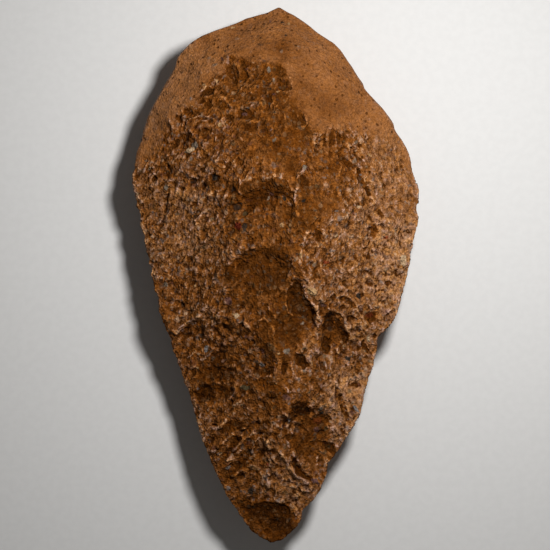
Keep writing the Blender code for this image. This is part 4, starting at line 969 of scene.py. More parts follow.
@dataclass
class Wiring:
    """Short calls that add and join nodes in one node tree."""

    tree: bpy.types.NodeTree

    def node(self, kind: str, inputs: Inputs | None = None, **settings: object) -> bpy.types.Node:
        """A new node.

        Args:
            kind: The node's type.
            inputs: What goes to each input, by its name or number: an output or a value.
            **settings: The node's own properties.

        Returns:
            The node.
        """
        made = self.tree.nodes.new(kind)
        for name, value in settings.items():
            setattr(made, name, value)
        for name, value in (inputs or {}).items():
            self.feed(made.inputs[name], value)
        return made

    def feed(self, socket: bpy.types.NodeSocket, value: object) -> None:
        """Joins an output to a socket, or sets the socket's own value.

        Args:
            socket: The input socket.
            value: The output that feeds it, or its own value.
        """
        if isinstance(value, bpy.types.NodeSocket):
            self.tree.links.new(value, socket)
        else:
            socket.default_value = value

    def placed(self, group: bpy.types.NodeTree, **inputs: object) -> bpy.types.Node:
        """A shared group placed in this tree, with its own values."""
        return self.node("ShaderNodeGroup", inputs, node_tree=group)

    def sum(self, operation: str, *parts: object) -> object:
        """The result of one Math node over two or three outputs or numbers."""
        return self.node("ShaderNodeMath", dict(enumerate(parts)), operation=operation).outputs[0]

    def vector(self, operation: str, *parts: object) -> bpy.types.Node:
        """One Vector Math node over two or three outputs or vectors."""
        return self.node("ShaderNodeVectorMath", dict(enumerate(parts)), operation=operation)

    def ramp(self, value: object, span: Ramp) -> object:
        """A value eased from one range into another and held at its ends."""
        parts = (value, span.low, span.high, span.start, span.end)
        made = self.node("ShaderNodeMapRange", dict(enumerate(parts)), interpolation_type="SMOOTHSTEP")
        return made.outputs[0]

    def mix(self, share: object, first: object, second: object, how: str = "MIX") -> object:
        """Two colours mixed.

        Args:
            share: How much of the second there is, an output or a number.
            first: An output or a colour.
            second: An output or a colour.
            how: The node's blend type.

        Returns:
            The mixed colour's output.
        """
        made = self.node("ShaderNodeMix", {0: share}, data_type="RGBA", blend_type=how, clamp_factor=True)
        colours = [socket for socket in made.inputs if socket.type == "RGBA"]
        for socket, value in zip(colours, (first, second)):
            self.feed(socket, value)
        return next(socket for socket in made.outputs if socket.type == "RGBA")

    def tinted(self, colour: object, tint: object) -> object:
        """A colour multiplied by a tint."""
        return self.mix(1.0, colour, tint, "MULTIPLY")

    def noise(self, place: object, pitch: float, detail: float = 2.0, output: str = "Fac") -> object:
        """Soft noise of a pitch in metres over the stone, from 0 to 1, as a value or as a colour."""
        inputs = {"Vector": place, "Scale": 1.0 / pitch, "Detail": detail}
        return self.node("ShaderNodeTexNoise", inputs).outputs[output]

    def bent(self, place: object, pitch: float, reach: float) -> object:
        """Places moved about by noise, so that what is drawn over them comes out irregular."""
        stray = self.noise(place, pitch, 1.0, "Color")
        return self.vector("MULTIPLY_ADD", stray, (reach, reach, reach), place).outputs[0]

    def cells(self, place: object, scale: object) -> bpy.types.Node:
        """Irregular cells, a number of them to the metre, each with its own random colour."""
        return self.node("ShaderNodeTexVoronoi", {"Vector": place, "Scale": scale}, feature="F1")

    def lots(self, cells: bpy.types.Node) -> tuple[object, ...]:
        """Three random values for each cell."""
        return tuple(self.node("ShaderNodeSeparateColor", {0: cells.outputs["Color"]}).outputs)

    def ladder(self, value: object, colours: tuple[Colour, ...]) -> object:
        """One of a few colours.

        Args:
            value: The output from 0 to 1 that picks the colour.
            colours: The colours, each as likely as the next.

        Returns:
            The colour's output.
        """
        made = self.node("ShaderNodeValToRGB", {0: value})
        made.color_ramp.interpolation = "CONSTANT"
        steps = made.color_ramp.elements
        steps.remove(steps[1])
        for index, colour in enumerate(colours):
            step = steps[0] if index == 0 else steps.new(index / len(colours))
            step.color = rgba(colour)
        return made.outputs[0]

    def attribute(self, mask: Mask) -> bpy.types.Node:
        """The node that reads one of the skin's masks."""
        return self.node("ShaderNodeAttribute", attribute_name=mask.value)

    def mask(self, mask: Mask) -> object:
        """The value of one of the skin's masks."""
        return self.attribute(mask).outputs["Fac"]


@dataclass(frozen=True)
class Crumbs:
    """Chips and sand grains too small for the mesh: flat tilted chips with rounded grains over them.

    Pitches and strays are in metres, and each share is of the height of 1 that the crumbs stand proud.
    """

    stray: tuple[float, float] = (0.0014, 0.0007)
    lump_pitch: float = 0.0021
    lump_height: Ramp = Ramp(0.28, 0.72, -1.0, 1.0)
    lump_share: float = 0.36
    chips: tuple[tuple[float, float], ...] = ((0.0019, 0.52), (0.0011, 0.48))
    chip_tilt: float = 4.0
    grain_pitch: float = 0.00075
    grain_dome: Ramp = Ramp(0.78, 0.10, -1.0, 0.6)
    grain_level: tuple[float, float] = (0.9, -0.35)
    grain_share: float = 0.44

    def group(self) -> bpy.types.NodeTree:
        """The group, whose height runs from about -1 in the gaps to 1 on what stands proudest."""
        group = group_with("crumb", (), ("Height",))
        wiring = Wiring(group)
        place = group.nodes[0].outputs["Vector"]
        bent = wiring.bent(place, *self.stray)
        lump = wiring.ramp(wiring.noise(place, self.lump_pitch), self.lump_height)
        height = wiring.sum("MULTIPLY", lump, self.lump_share)
        for pitch, share in self.chips:
            cells = wiring.cells(bent, 1.0 / pitch)
            away = wiring.vector("SUBTRACT", bent, cells.outputs["Position"])
            lean = wiring.vector("SUBTRACT", cells.outputs["Color"], (0.5, 0.5, 0.5))
            tilt = wiring.vector("DOT_PRODUCT", away.outputs[0], lean.outputs[0]).outputs["Value"]
            height = wiring.sum("MULTIPLY_ADD", tilt, share * self.chip_tilt / pitch, height)
        cells = wiring.cells(bent, 1.0 / self.grain_pitch)
        dome = wiring.ramp(cells.outputs["Distance"], self.grain_dome)
        level = wiring.sum("MULTIPLY_ADD", wiring.lots(cells)[0], *self.grain_level)
        height = wiring.sum("MULTIPLY_ADD", wiring.sum("ADD", dome, level), self.grain_share, height)
        wiring.feed(group.nodes[1].inputs["Height"], height)
        return group


@dataclass(frozen=True)
class Streaks:
    """Fine crests drawn out along the way the stone breaks, which fans out from its middle line.

    Lengths are in metres. The crests take one heading left of the first border, the next between the two
    borders and the last to their right.
    """

    stray: tuple[float, float] = (0.0030, 0.0013)
    pitch: float = 0.0014
    stretch: float = 2.3
    headings: tuple[float, ...] = (50, 90, 116)
    borders: tuple[Ramp, ...] = (Ramp(-0.010, -0.004), Ramp(0.001, 0.008))
    height: Ramp = Ramp(0.30, 0.70, -1.0, 1.0)

    def group(self) -> bpy.types.NodeTree:
        """The group, whose height runs from about -1 to 1."""
        group = group_with("streak", (), ("Height",))
        wiring = Wiring(group)
        place = group.nodes[0].outputs["Vector"]
        across = wiring.node("ShaderNodeSeparateXYZ", {0: place}).outputs[0]
        bent = wiring.bent(place, *self.stray)
        drawn = []
        for heading in self.headings:
            turn = (0, 0, math.radians(heading))
            inputs = {"Vector": bent, "Rotation": turn, "Scale": (self.stretch, 1, 1)}
            turned = wiring.node("ShaderNodeMapping", inputs, vector_type="TEXTURE")
            drawn.append(wiring.noise(turned.outputs[0], self.pitch))
        value = drawn[0]
        for following, border in zip(drawn[1:], self.borders):
            change = wiring.sum("SUBTRACT", following, value)
            value = wiring.sum("MULTIPLY_ADD", change, wiring.ramp(across, border), value)
        wiring.feed(group.nodes[1].inputs["Height"], wiring.ramp(value, self.height))
        return group


@dataclass(frozen=True)
class Speckles:
    """Scattered round spots of one size, such as sand grains or pinholes.

    The pitch is in metres. A share of the cells hold a spot, and its radius is in pitches.
    """

    pitch: float
    share: float
    radius: float
    strength: float

    @staticmethod
    def group(core: float = 0.55) -> bpy.types.NodeTree:
        """The group that scatters the spots.

        Args:
            core: The part of a spot's radius over which it is full.

        Returns:
            A group with the spots' mask and a random value for each spot.
        """
        group = group_with("speckle", ("Pitch", "Share", "Radius"), ("Spots", "Lot"))
        wiring = Wiring(group)
        given, result = group.nodes[0].outputs, group.nodes[1].inputs
        cells = wiring.cells(given["Vector"], wiring.sum("DIVIDE", 1.0, given["Pitch"]))
        lots = wiring.lots(cells)
        chosen = wiring.sum("LESS_THAN", lots[0], given["Share"])
        fall = wiring.sum("SUBTRACT", given["Radius"], cells.outputs["Distance"])
        span = wiring.sum("SUBTRACT", given["Radius"], wiring.sum("MULTIPLY", given["Radius"], core))
        near = wiring.node("ShaderNodeClamp", {0: wiring.sum("DIVIDE", fall, span)})
        wiring.feed(result["Spots"], wiring.sum("MULTIPLY", near.outputs[0], chosen))
        wiring.feed(result["Lot"], lots[1])
        return group

    def placed(self, wiring: Wiring, group: bpy.types.NodeTree, place: object) -> tuple[object, object]:
        """The group placed in a material: the mask of this size of spot, and its random values."""
        made = wiring.placed(group, Vector=place, Pitch=self.pitch, Share=self.share, Radius=self.radius)
        return made.outputs["Spots"], made.outputs["Lot"]


@dataclass(frozen=True)
class Tint:
    """A tint that drifts over the stone between two colours, with a pitch in metres."""

    pitch: float
    detail: float
    span: Ramp
    first: Colour
    second: Colour

    def over(self, wiring: Wiring, place: object) -> object:
        """The tint at each place."""
        share = wiring.ramp(wiring.noise(place, self.pitch, self.detail), self.span)
        return wiring.mix(share, rgba(self.first), rgba(self.second))


@dataclass(frozen=True)
class Shade:
    """A colour that sets in over a range of the shift from pale to stained, which also carries painted light
    and painted shade.
    """

    colour: Colour
    span: Ramp


@dataclass
class Surface:
    """What the parts of the stone's finish share: its wiring and the values that change over the skin."""

    wiring: Wiring
    place: object
    weathered: object
    smooth: object
    crumb: object
    shift: object
    crest: object


@dataclass(frozen=True)
class StoneFinish:
    """Iron-stained coarse sandstone: colours are linear, sizes in metres.

    The shift runs from about -2, where the stone is deeply stained and darkened with painted shade, over 0,
    to about 2, where it is bleached and brightened with painted light.
    """

    worked: Colour = (0.192, 0.063, 0.0118)
    weathered: Colour = (0.250, 0.096, 0.0275)
    # The pale of worn crests, which is also a painted highlight, and the ochre that crests take in stained
    # places.
    worn: Colour = (0.520, 0.285, 0.165)
    ochre: Colour = (0.325, 0.121, 0.030)
    # The dark brown of painted shade, for low places, pinholes and pricks.
    hollow: Colour = (0.066, 0.0185, 0.0018)
    # Stain, deep stain, pale and bleached stone, set in by the shift, which also carries painted light and
    # painted shade.
    shades: tuple[Shade, ...] = (
        Shade((0.102, 0.0295, 0.0034), Ramp(0.0, -1.0)),
        Shade((0.033, 0.0095, 0.0012), Ramp(-0.8, -1.5)),
        Shade((0.262, 0.104, 0.0315), Ramp(0.0, 1.0)),
        Shade((0.390, 0.180, 0.074), Ramp(0.9, 1.9)),
    )
    # The broad drift in tone, the change of hue within a few millimetres and the sand's own speckle.
    drift: Tint = Tint(0.011, 3.0, Ramp(0.35, 0.65), (0.90, 0.88, 0.84), (1.10, 1.12, 1.16))
    hue: Tint = Tint(0.0022, 4.0, Ramp(0.36, 0.64), (0.91, 0.98, 1.25), (1.07, 1.01, 0.76))
    sand: Tint = Tint(0.0007, 2.0, Ramp(0.33, 0.67), (0.72, 0.69, 0.64), (1.25, 1.27, 1.30))
    smooth_hue: Colour = (1.01, 0.99, 1.0)
    smooth_hue_share: Ramp = Ramp(0.0, 1.0, 0.0, 0.6)
    smooth_sand_share: Ramp = Ramp(0.0, 1.0, 1.0, 0.65)
    # The finest relief: how strong the streaks and the crumbs are, and how deep they go.
    streak_by_tone: Ramp = Ramp(0.2, -1.2, 1.0, 0.75)
    streak_by_weather: Ramp = Ramp(0.0, 1.0, 0.70, 0.0)
    crumb_share: float = 0.62
    grain_depth: float = 0.00042
    depth_by_smooth: Ramp = Ramp(0.0, 1.0, 0.95, 0.85)
    # Where pockets are darkened with iron stain and painted shade, and crests bleached and given a painted
    # highlight, with the crumbs fraying their edges.
    pocket_fray: float = 0.09
    pocket_edge: Ramp = Ramp(0.36, 0.62)
    pocket_stain: Ramp = Ramp(-1.0, 1.5, 0.5, 2.2)
    crest_fray: float = 0.07
    crest_edge: Ramp = Ramp(0.60, 0.84)
    crest_bleach: float = 0.5
    # How high a place has to stand to be worn pale with a painted highlight, or how low to take painted
    # shade.
    crumb_contrast: Ramp = Ramp(0.0, 1.0, 0.80, 0.42)
    crest_standing: float = 0.6
    hollow_level: Ramp = Ramp(-0.05, -1.10)
    worn_level: Ramp = Ramp(0.02, 1.05)
    worn_by_shift: Ramp = Ramp(0.3, -1.5, 1.0, 0.24)
    ochre_by_shift: Ramp = Ramp(0.3, -0.5)
    # Coloured grains from coarse to fine, pinholes, and the pricks in the weathered skin; the pinholes and
    # pricks are painted dark as painted shade.
    grains: tuple[Colour, ...] = (
        (0.420, 0.270, 0.165), (0.045, 0.020, 0.008), (0.165, 0.150, 0.140), (0.330, 0.180, 0.110),
        (0.120, 0.046, 0.034), (0.300, 0.115, 0.024), (0.120, 0.092, 0.052), (0.080, 0.066, 0.060),
        (0.360, 0.215, 0.130), (0.060, 0.022, 0.006), (0.230, 0.150, 0.105),
    )
    grain_sizes: tuple[Speckles, ...] = (
        Speckles(0.0027, 0.12, 0.46, 0.60),
        Speckles(0.0017, 0.22, 0.52, 0.64),
        Speckles(0.0011, 0.32, 0.56, 0.62),
    )
    pinholes: Speckles = Speckles(0.0013, 0.06, 0.40, 0.8)
    pricks: Speckles = Speckles(0.0023, 0.55, 0.25, 0.80)
    grain_strays: tuple[tuple[float, float], ...] = ((0.0022, 0.0013), (0.0008, 0.0005))
    stained_grain: Colour = (0.42, 0.34, 0.23)
    stained_grain_by_shift: Ramp = Ramp(-1.0, 0.3)
    grain_by_weather: Ramp = Ramp(0.0, 1.0, 1.0, 0.25)
    grain_by_crumb: Ramp = Ramp(-0.9, 0.2, 0.30, 1.0)
    # The pebbles' edge and the mottling over them.
    pebble_edge: Ramp = Ramp(0.15, 0.80)
    mottle_by_crumb: Ramp = Ramp(-0.8, 0.9)
    mottle_low: Colour = (0.62, 0.58, 0.52)
    mottle_high: Colour = (1.15, 1.15, 1.15)
    # How matt it is from worked to weathered stone, how uneven that is, and its faint sheen.
    roughness_by_weather: Ramp = Ramp(0.0, 1.0, 0.74, 0.60)
    uneven_pitch: float = 0.0015
    uneven: Ramp = Ramp(0.3, 0.7, -0.08, 0.08)
    sheen: float = 0.05
    sheen_tint: Colour = (1.0, 0.72, 0.45)

    def material(
        self, crumbs: bpy.types.NodeTree, streaks: bpy.types.NodeTree, speckles: bpy.types.NodeTree
    ) -> bpy.types.Material:
        """The stone's material.

        Args:
            crumbs: The group that packs the finest grains.
            streaks: The group that draws out the finest crests.
            speckles: The group that scatters coloured grains and pinholes.

        Returns:
            A new material that reads the skin's masks and Object coordinates.
        """
        material = bpy.data.materials.new("iron_stained_sandstone")
        material.use_nodes = True
        surface = self.surface(Wiring(material.node_tree), crumbs, streaks)
        wiring = surface.wiring
        grained, pinholes = self.grained(surface, self.tone(surface), speckles)
        shader = material.node_tree.nodes["Principled BSDF"]
        wiring.feed(shader.inputs["Base Color"], self.pebbled(surface, grained))
        wiring.feed(shader.inputs["Roughness"], self.roughness(surface))
        wiring.feed(shader.inputs["Normal"], self.relief(surface, pinholes))
        wiring.feed(shader.inputs["Specular IOR Level"], self.sheen)
        wiring.feed(shader.inputs["Specular Tint"], rgba(self.sheen_tint))
        return material

    def surface(self, wiring: Wiring, crumbs: bpy.types.NodeTree, streaks: bpy.types.NodeTree) -> Surface:
        """The values that the rest of the finish reads.

        Args:
            wiring: The material's wiring.
            crumbs: The group that packs the finest grains.
            streaks: The group that draws out the finest crests.

        Returns:
            The masks, the height of the finest grains, and the shift from pale to stained, which also carries
            painted light and painted shade, with the pockets and crests cut crisply into it.
        """
        place = wiring.node("ShaderNodeTexCoord").outputs["Object"]
        weathered = wiring.mask(Mask.WEATHERED)
        tone = wiring.mask(Mask.TONE)
        rough = wiring.ramp(weathered, self.streak_by_weather)
        rough = wiring.sum("MULTIPLY", rough, wiring.ramp(tone, self.streak_by_tone))
        crumb, streak = (wiring.placed(group, Vector=place).outputs["Height"] for group in (crumbs, streaks))
        crumb = wiring.sum("MULTIPLY_ADD", streak, rough, wiring.sum("MULTIPLY", crumb, self.crumb_share))
        # Pockets are darkened: iron stain and painted shade.
        sunk = wiring.sum("MULTIPLY_ADD", crumb, self.pocket_fray, wiring.mask(Mask.POCKET))
        stain_and_shade = wiring.sum("MULTIPLY", wiring.mask(Mask.STAIN), wiring.ramp(tone, self.pocket_stain))
        stain_and_shade = wiring.sum("MULTIPLY", wiring.ramp(sunk, self.pocket_edge), stain_and_shade)
        # Crests are paled: worn, and given a painted highlight.
        crest = wiring.sum("MULTIPLY_ADD", crumb, self.crest_fray, wiring.mask(Mask.CREST))
        crest = wiring.ramp(crest, self.crest_edge)
        shift = wiring.sum("MULTIPLY_ADD", crest, self.crest_bleach, wiring.sum("SUBTRACT", tone, stain_and_shade))
        return Surface(wiring, place, weathered, wiring.mask(Mask.SMOOTH), crumb, shift, crest)

    def tone(self, surface: Surface) -> object:
        """The broad colour: worked or weathered stone with its stains and painted light, paler where worn and
        given a painted highlight, and darker with painted shade in its hollows.

        Args:
            surface: What the parts of the finish share.

        Returns:
            The colour's output.
        """
        wiring, shift, smooth = surface.wiring, surface.shift, surface.smooth
        colour = wiring.mix(surface.weathered, rgba(self.worked), rgba(self.weathered))
        # The shift sets in stain and bleaching, and with them painted light and painted shade.
        for shade in self.shades:
            colour = wiring.mix(wiring.ramp(shift, shade.span), colour, rgba(shade.colour))
        # What stands out is worn pale and given a painted highlight; what lies low takes the dark brown of
        # painted shade.
        contrast = wiring.ramp(smooth, self.crumb_contrast)
        level = wiring.sum("MULTIPLY_ADD", surface.crumb, contrast, wiring.mask(Mask.STANDING))
        level = wiring.sum("MULTIPLY_ADD", surface.crest, self.crest_standing, level)
        colour = wiring.mix(wiring.ramp(level, self.hollow_level), colour, rgba(self.hollow))
        light = wiring.mix(wiring.ramp(shift, self.ochre_by_shift), rgba(self.worn), rgba(self.ochre))
        worn = wiring.ramp(level, self.worn_level)
        worn = wiring.sum("MULTIPLY", worn, wiring.ramp(shift, self.worn_by_shift))
        colour = wiring.tinted(wiring.mix(worn, colour, light), self.drift.over(wiring, surface.place))
        hue = self.hue.over(wiring, surface.place)
        hue = wiring.mix(wiring.ramp(smooth, self.smooth_hue_share), hue, rgba(self.smooth_hue))
        colour = wiring.tinted(colour, hue)
        sandy = wiring.tinted(colour, self.sand.over(wiring, surface.place))
        return wiring.mix(wiring.ramp(smooth, self.smooth_sand_share), colour, sandy)

    def grained(
        self, surface: Surface, colour: object, speckles: bpy.types.NodeTree
    ) -> tuple[object, object]:
        """The coloured grains and pinholes over the broad colour.

        Args:
            surface: What the parts of the finish share.
            colour: The broad colour.
            speckles: The group that scatters spots.

        Returns:
            The colour with its grains, and the mask of the pinholes and pricks.
        """
        wiring, bent = surface.wiring, surface.place
        for stray in self.grain_strays:
            bent = wiring.bent(bent, *stray)
        # Grains are dimmed where the stone is stained and where painted shade falls.
        shade = wiring.ramp(surface.shift, self.stained_grain_by_shift)
        shade = wiring.mix(shade, rgba(self.stained_grain), rgba(WHITE))
        plain = wiring.ramp(surface.weathered, self.grain_by_weather)
        broken = wiring.ramp(surface.crumb, self.grain_by_crumb)
        for size in self.grain_sizes:
            spots, lot = size.placed(wiring, speckles, bent)
            cover = wiring.sum("MULTIPLY", wiring.sum("MULTIPLY", spots, size.strength), plain)
            cover = wiring.sum("MULTIPLY", cover, broken)
            colour = wiring.mix(cover, colour, wiring.tinted(wiring.ladder(lot, self.grains), shade))
        # Pinholes and pricks take the dark brown of painted shade.
        holes, _ = self.pinholes.placed(wiring, speckles, surface.place)
        colour = wiring.mix(wiring.sum("MULTIPLY", holes, self.pinholes.strength), colour, rgba(self.hollow))
        pricks, _ = self.pricks.placed(wiring, speckles, bent)
        pricked = wiring.sum("MULTIPLY", pricks, surface.weathered)
        pricked = wiring.sum("MULTIPLY", pricked, self.pricks.strength)
        colour = wiring.mix(pricked, colour, rgba(self.hollow))
        return colour, wiring.sum("MAXIMUM", holes, pricked)

    def pebbled(self, surface: Surface, colour: object) -> object:
        """The pebbles, mottled by the finest grains, over the rest of the stone.

        Args:
            surface: What the parts of the finish share.
            colour: The stone's colour round them.

        Returns:
            The colour's output.
        """
        wiring = surface.wiring
        pebble = wiring.attribute(Mask.PEBBLE).outputs
        mottle = wiring.ramp(surface.crumb, self.mottle_by_crumb)
        mottle = wiring.mix(mottle, rgba(self.mottle_low), rgba(self.mottle_high))
        edge = wiring.ramp(pebble["Alpha"], self.pebble_edge)
        return wiring.mix(edge, colour, wiring.tinted(pebble["Color"], mottle))

    def roughness(self, surface: Surface) -> object:
        """Matt where worked and a little glossier where weathered, uneven from grain to grain.

        Args:
            surface: What the parts of the finish share.

        Returns:
            The roughness's output.
        """
        wiring = surface.wiring
        base = wiring.ramp(surface.weathered, self.roughness_by_weather)
        uneven = wiring.ramp(wiring.noise(surface.place, self.uneven_pitch), self.uneven)
        return wiring.sum("ADD", base, uneven)

    def relief(self, surface: Surface, pinholes: object) -> object:
        """Grain too fine for the mesh.

        Args:
            surface: What the parts of the finish share.
            pinholes: The output that is full in a pinhole.

        Returns:
            The output of the normal that the grain gives.
        """
        wiring = surface.wiring
        height = wiring.sum("SUBTRACT", surface.crumb, pinholes)
        height = wiring.sum("MULTIPLY", height, wiring.ramp(surface.smooth, self.depth_by_smooth))
        inputs = {"Strength": 1.0, "Distance": self.grain_depth, "Height": height}
        return wiring.node("ShaderNodeBump", inputs).outputs[0]


# --- The axe -------------------------------------------------------------------------------------------


@dataclass(frozen=True)
class GrainMix:
    """How high each kind of grain stands on one sort of face, in millimetres."""

    soft: float = 0.0
    beads: float = 0.0
    chipped: float = 0.0
    lumpy: float = 0.0
    broad: float = 0.0
    streaks: float = 0.0
    ridged: float = 0.0
    sunk: float = 0.0
    pockets: float = 0.0

    def height(self, kinds: dict[str, np.ndarray]) -> np.ndarray:
        """The mix's height at each place, from the height there of each kind."""
        return sum(share * kinds[name] for name, share in vars(self).items())


FLANK = GrainMix(0.05, 0.07, 0.12, 0.18, 0.28, streaks=0.24, ridged=0.28, sunk=0.30, pockets=0.45)
SCAR = GrainMix(0.05, 0.13, 0.34, 0.40, 0.42, sunk=0.50, pockets=0.75)
WEATHERED_SKIN = GrainMix(soft=0.05, beads=0.012, lumpy=0.12)
CLEAN_BREAK = GrainMix(soft=0.08, beads=0.05, chipped=0.06, lumpy=0.14)


@dataclass(frozen=True)
class WearAndPaintedLight:
    """How much places that stand out, or lie low, by so many millimetres are worn pale with a painted
    highlight, or given painted shade.
    """

    span: Span
    share: float

    def over(self, standing: np.ndarray) -> np.ndarray:
        """The share at each place."""
        return eased(standing, *self.span) * self.share


@dataclass
class Relief:
    """All that is raised, sunk or coloured on the stone, read at given places on its skin.

    Lengths are in millimetres. A span is where something starts and where it is full.
    """

    places: np.ndarray
    normals: np.ndarray
    # How far the skin is let out round the margin, to make up for what the easing of the facets draws in.
    margin_reach: float = 0.32
    # How far up a place faces on the upper side, and on the broad faces next to the margin.
    upper_span: Span = (-0.05, 0.25)
    broad_span: Span = (0.25, 0.75)
    # Where the weathered butt starts on the underside, and how far from the bowl's middle the border softens.
    under_butt: Span = (50, 54)
    bowl_middle: float = -8
    bowl_side: Span = (15, 22)
    zone_blur: float = 2.0
    bowl_blur: float = 1.8
    soft_blur: float = 5.0
    # How the patterns of the grain lie.
    soft_lays: tuple[Lay, Lay] = (Lay(1.7, 5), Lay(1.0, 6))
    bead_lays: tuple[Lay, Lay] = (Lay(1.75, 1, 48, 1.45), Lay(2.0, 2, 64, 1.5))
    lumpy_lay: Lay = Lay(3.9, 7, 55, 1.3)
    broad_lay: Lay = Lay(9.0, 26)
    chipped_lay: Lay = Lay(3.6, 1, 48, 1.4)
    pocket_lay: Lay = Lay(4.4, 3)
    ridged_lay: Lay = Lay(2.0, 28, 50, 2.6)
    streak_lays: tuple[Lay, Lay, Lay] = (Lay(1.5, 12, 40, 4.0), Lay(1.5, 13, 90, 4.0), Lay(1.7, 14, 118, 2.4))
    drift_lay: Lay = Lay(14.0, 27)
    # How much single grains have dropped out, and how many hold a pocket.
    dropped: float = 0.10
    pocketed: float = 0.45
    # How the face calms towards the point and down its middle.
    low_span: Span = (36, 50)
    low_streaks: float = 0.10
    middle_span: Span = (22, 34)
    calmed: float = 0.55
    bowl_share: float = 0.85
    # How much of the zones' straying the lines, pits and hollows follow, the pebbles, and the tones.
    line_stray: float = 0.22
    pebble_stray: float = 0.2
    clean_stray: float = 0.35
    tone_stray: float = 0.6
    # What is worn pale and given a painted highlight because it stands out of its close or wider
    # surroundings, and what is given painted shade below them.
    worn: tuple[WearAndPaintedLight, WearAndPaintedLight] = (WearAndPaintedLight((0.02, 0.16), 0.36), WearAndPaintedLight((0.10, 0.70), 0.35))
    shaded: tuple[WearAndPaintedLight, WearAndPaintedLight] = (WearAndPaintedLight((0.01, 0.12), 0.45), WearAndPaintedLight((0.08, 0.60), 0.5))
    tone_limits: Span = (-1.7, 1.9)

    def __post_init__(self) -> None:
        """Works out the zones that both the relief and the masks read."""
        facing = self.normals[:, 2]
        self.upper = eased(facing, *self.upper_span)
        self.rim = 1 - eased(np.abs(facing), *self.broad_span)
        self.plan = self.places[:, :2] + (
            strays(self.places, 7.0, (1, 2), 1.2) + strays(self.places, 2.4, (3, 4), 1.1)
        )
        self.frayed = strays(self.places, 1.3, (32, 33), 0.28)
        under = (1 - eased(self.plan[:, 1], *self.under_butt)) * (1 - self.upper)
        by_bowl = 1 - eased(np.abs(self.places[:, 0] - self.bowl_middle), *self.bowl_side)
        soft = inside(self.plan, WORKED_FACE, self.soft_blur)
        soft += (inside(self.plan, WORKED_FACE, self.bowl_blur) - soft) * by_bowl
        self.worked = inside(self.plan, WORKED_FACE, self.zone_blur) * self.upper + under
        self.soft_worked = soft * self.upper + under
        self.crown = inside(self.plan, CROWN, self.zone_blur) * self.upper
        self.scar = inside(self.plan, RIGHT_SCAR, self.zone_blur) * self.upper
        self.clean = np.zeros(len(self.places))
        plan = self.plan_near(self.clean_stray)
        for face in CLEAN_FACES:
            clean = face.shift * inside(plan, face.corners, face.fade) * self.upper
            self.clean = np.maximum(self.clean, clean)

    def plan_near(self, share: float) -> np.ndarray:
        """X and Y of each place, moved by a share of the zones' straying and frayed a little."""
        return self.places[:, :2] + (self.plan - self.places[:, :2]) * share + self.frayed

    def kinds_of_grain(self) -> dict[str, np.ndarray]:
        """The height of each kind of grain at each place, from about -1 to 1."""
        places = self.places
        warped = places + strays(places, 2.0, (21, 22, 23), 0.6)
        to_right = eased(places[:, 0] + 0.12 * places[:, 1], 2, 8)
        (near, gap, lot), (right_near, right_gap, right_lot) = (grains(warped, lay) for lay in self.bead_lays)
        near += (right_near - near) * to_right
        gap += (right_gap - gap) * to_right
        lot = np.where(to_right > 0.5, right_lot, lot)
        close, _, drawn = grains(warped, self.pocket_lay)
        return {
            "soft": 0.5 * lumps(places, self.soft_lays[0]) + 0.4 * lumps(places, self.soft_lays[1]),
            "beads": (1 - (near / 0.55) ** 2).clip(-0.8, 1) * np.clip(gap / 0.28, 0, 1) + 1.5 * (lot - 0.5),
            "chipped": facets(warped, self.chipped_lay),
            "lumpy": lumps(places, self.lumpy_lay),
            "broad": lumps(places, self.broad_lay),
            "streaks": self.streaks(),
            "ridged": lumps(warped, self.ridged_lay) * (1 - to_right),
            "sunk": -np.clip(1 - near / 0.5, 0, 1) * (lot < self.dropped),
            "pockets": -np.clip(1.15 - close / 0.30, 0, 1) * (drawn < self.pocketed),
        }

    def grain_height(self) -> np.ndarray:
        """The height of the grain all over."""
        kinds = self.kinds_of_grain()
        low = eased(-self.plan[:, 1], *self.low_span)
        middle = eased(12 - np.abs(self.places[:, 0]), 0, 6) * eased(-self.places[:, 1], *self.middle_span)
        flank = FLANK.height(kinds) + low * self.low_streaks * kinds["streaks"]
        rough = flank + (SCAR.height(kinds) - flank) * self.scar
        rough *= 1 - self.calmed * np.maximum(low, middle)
        rough *= 1 + 0.5 * np.clip(lumps(self.places, self.drift_lay), -1, 1)
        height = WEATHERED_SKIN.height(kinds)
        height += (rough - height) * self.worked
        height += (self.bowl() - height) * self.crown * self.bowl_share
        height += (CLEAN_BREAK.height(kinds) - height) * self.clean
        return height

    def bowl(self) -> np.ndarray:
        """The height of little scooped facets with sharp rims, as where the stone has plucked out."""
        shifted = self.places + strays(self.places, 3.2, (8, 9, 10), 1.2)
        height = 0.14 * creases(shifted, Lay(5.4, 15)) + 0.26 * facets(shifted, Lay(3.9, 2))
        return height + 0.28 * lumps(self.places, Lay(4.4, 17)) + 0.05 * lumps(self.places, Lay(1.2, 11))

    def streaks(self) -> np.ndarray:
        """Fracture lines that fan out from the middle of the axe down both flanks."""
        left, middle, right = (lumps(self.places, lay) for lay in self.streak_lays)
        to_left = 1 - eased(self.places[:, 0], -9, -4)
        to_right = eased(self.places[:, 0], 1, 6)
        return left * to_left + right * to_right + middle * (1 - to_left) * (1 - to_right)

    def beside_lines(self, widths: float, fade: float) -> Iterator[tuple[Line, *tuple[np.ndarray, ...]]]:
        """Each line with the places beside it.

        Args:
            widths: How far to either side of a line to look, in its own widths.
            fade: The share of a line's length over which each of its ends fades.

        Yields:
            The line, which places are near it, their distance from it and how full it is there.
        """
        plan = self.plan_near(self.line_stray)
        for line in LINES:
            near = near_box(plan, line.points, widths * line.width)
            distance, along = from_line(plan[near], smooth_line(line.points))
            yield line, near, distance, np.clip(np.minimum(along, 1 - along) / fade, 0, 1)

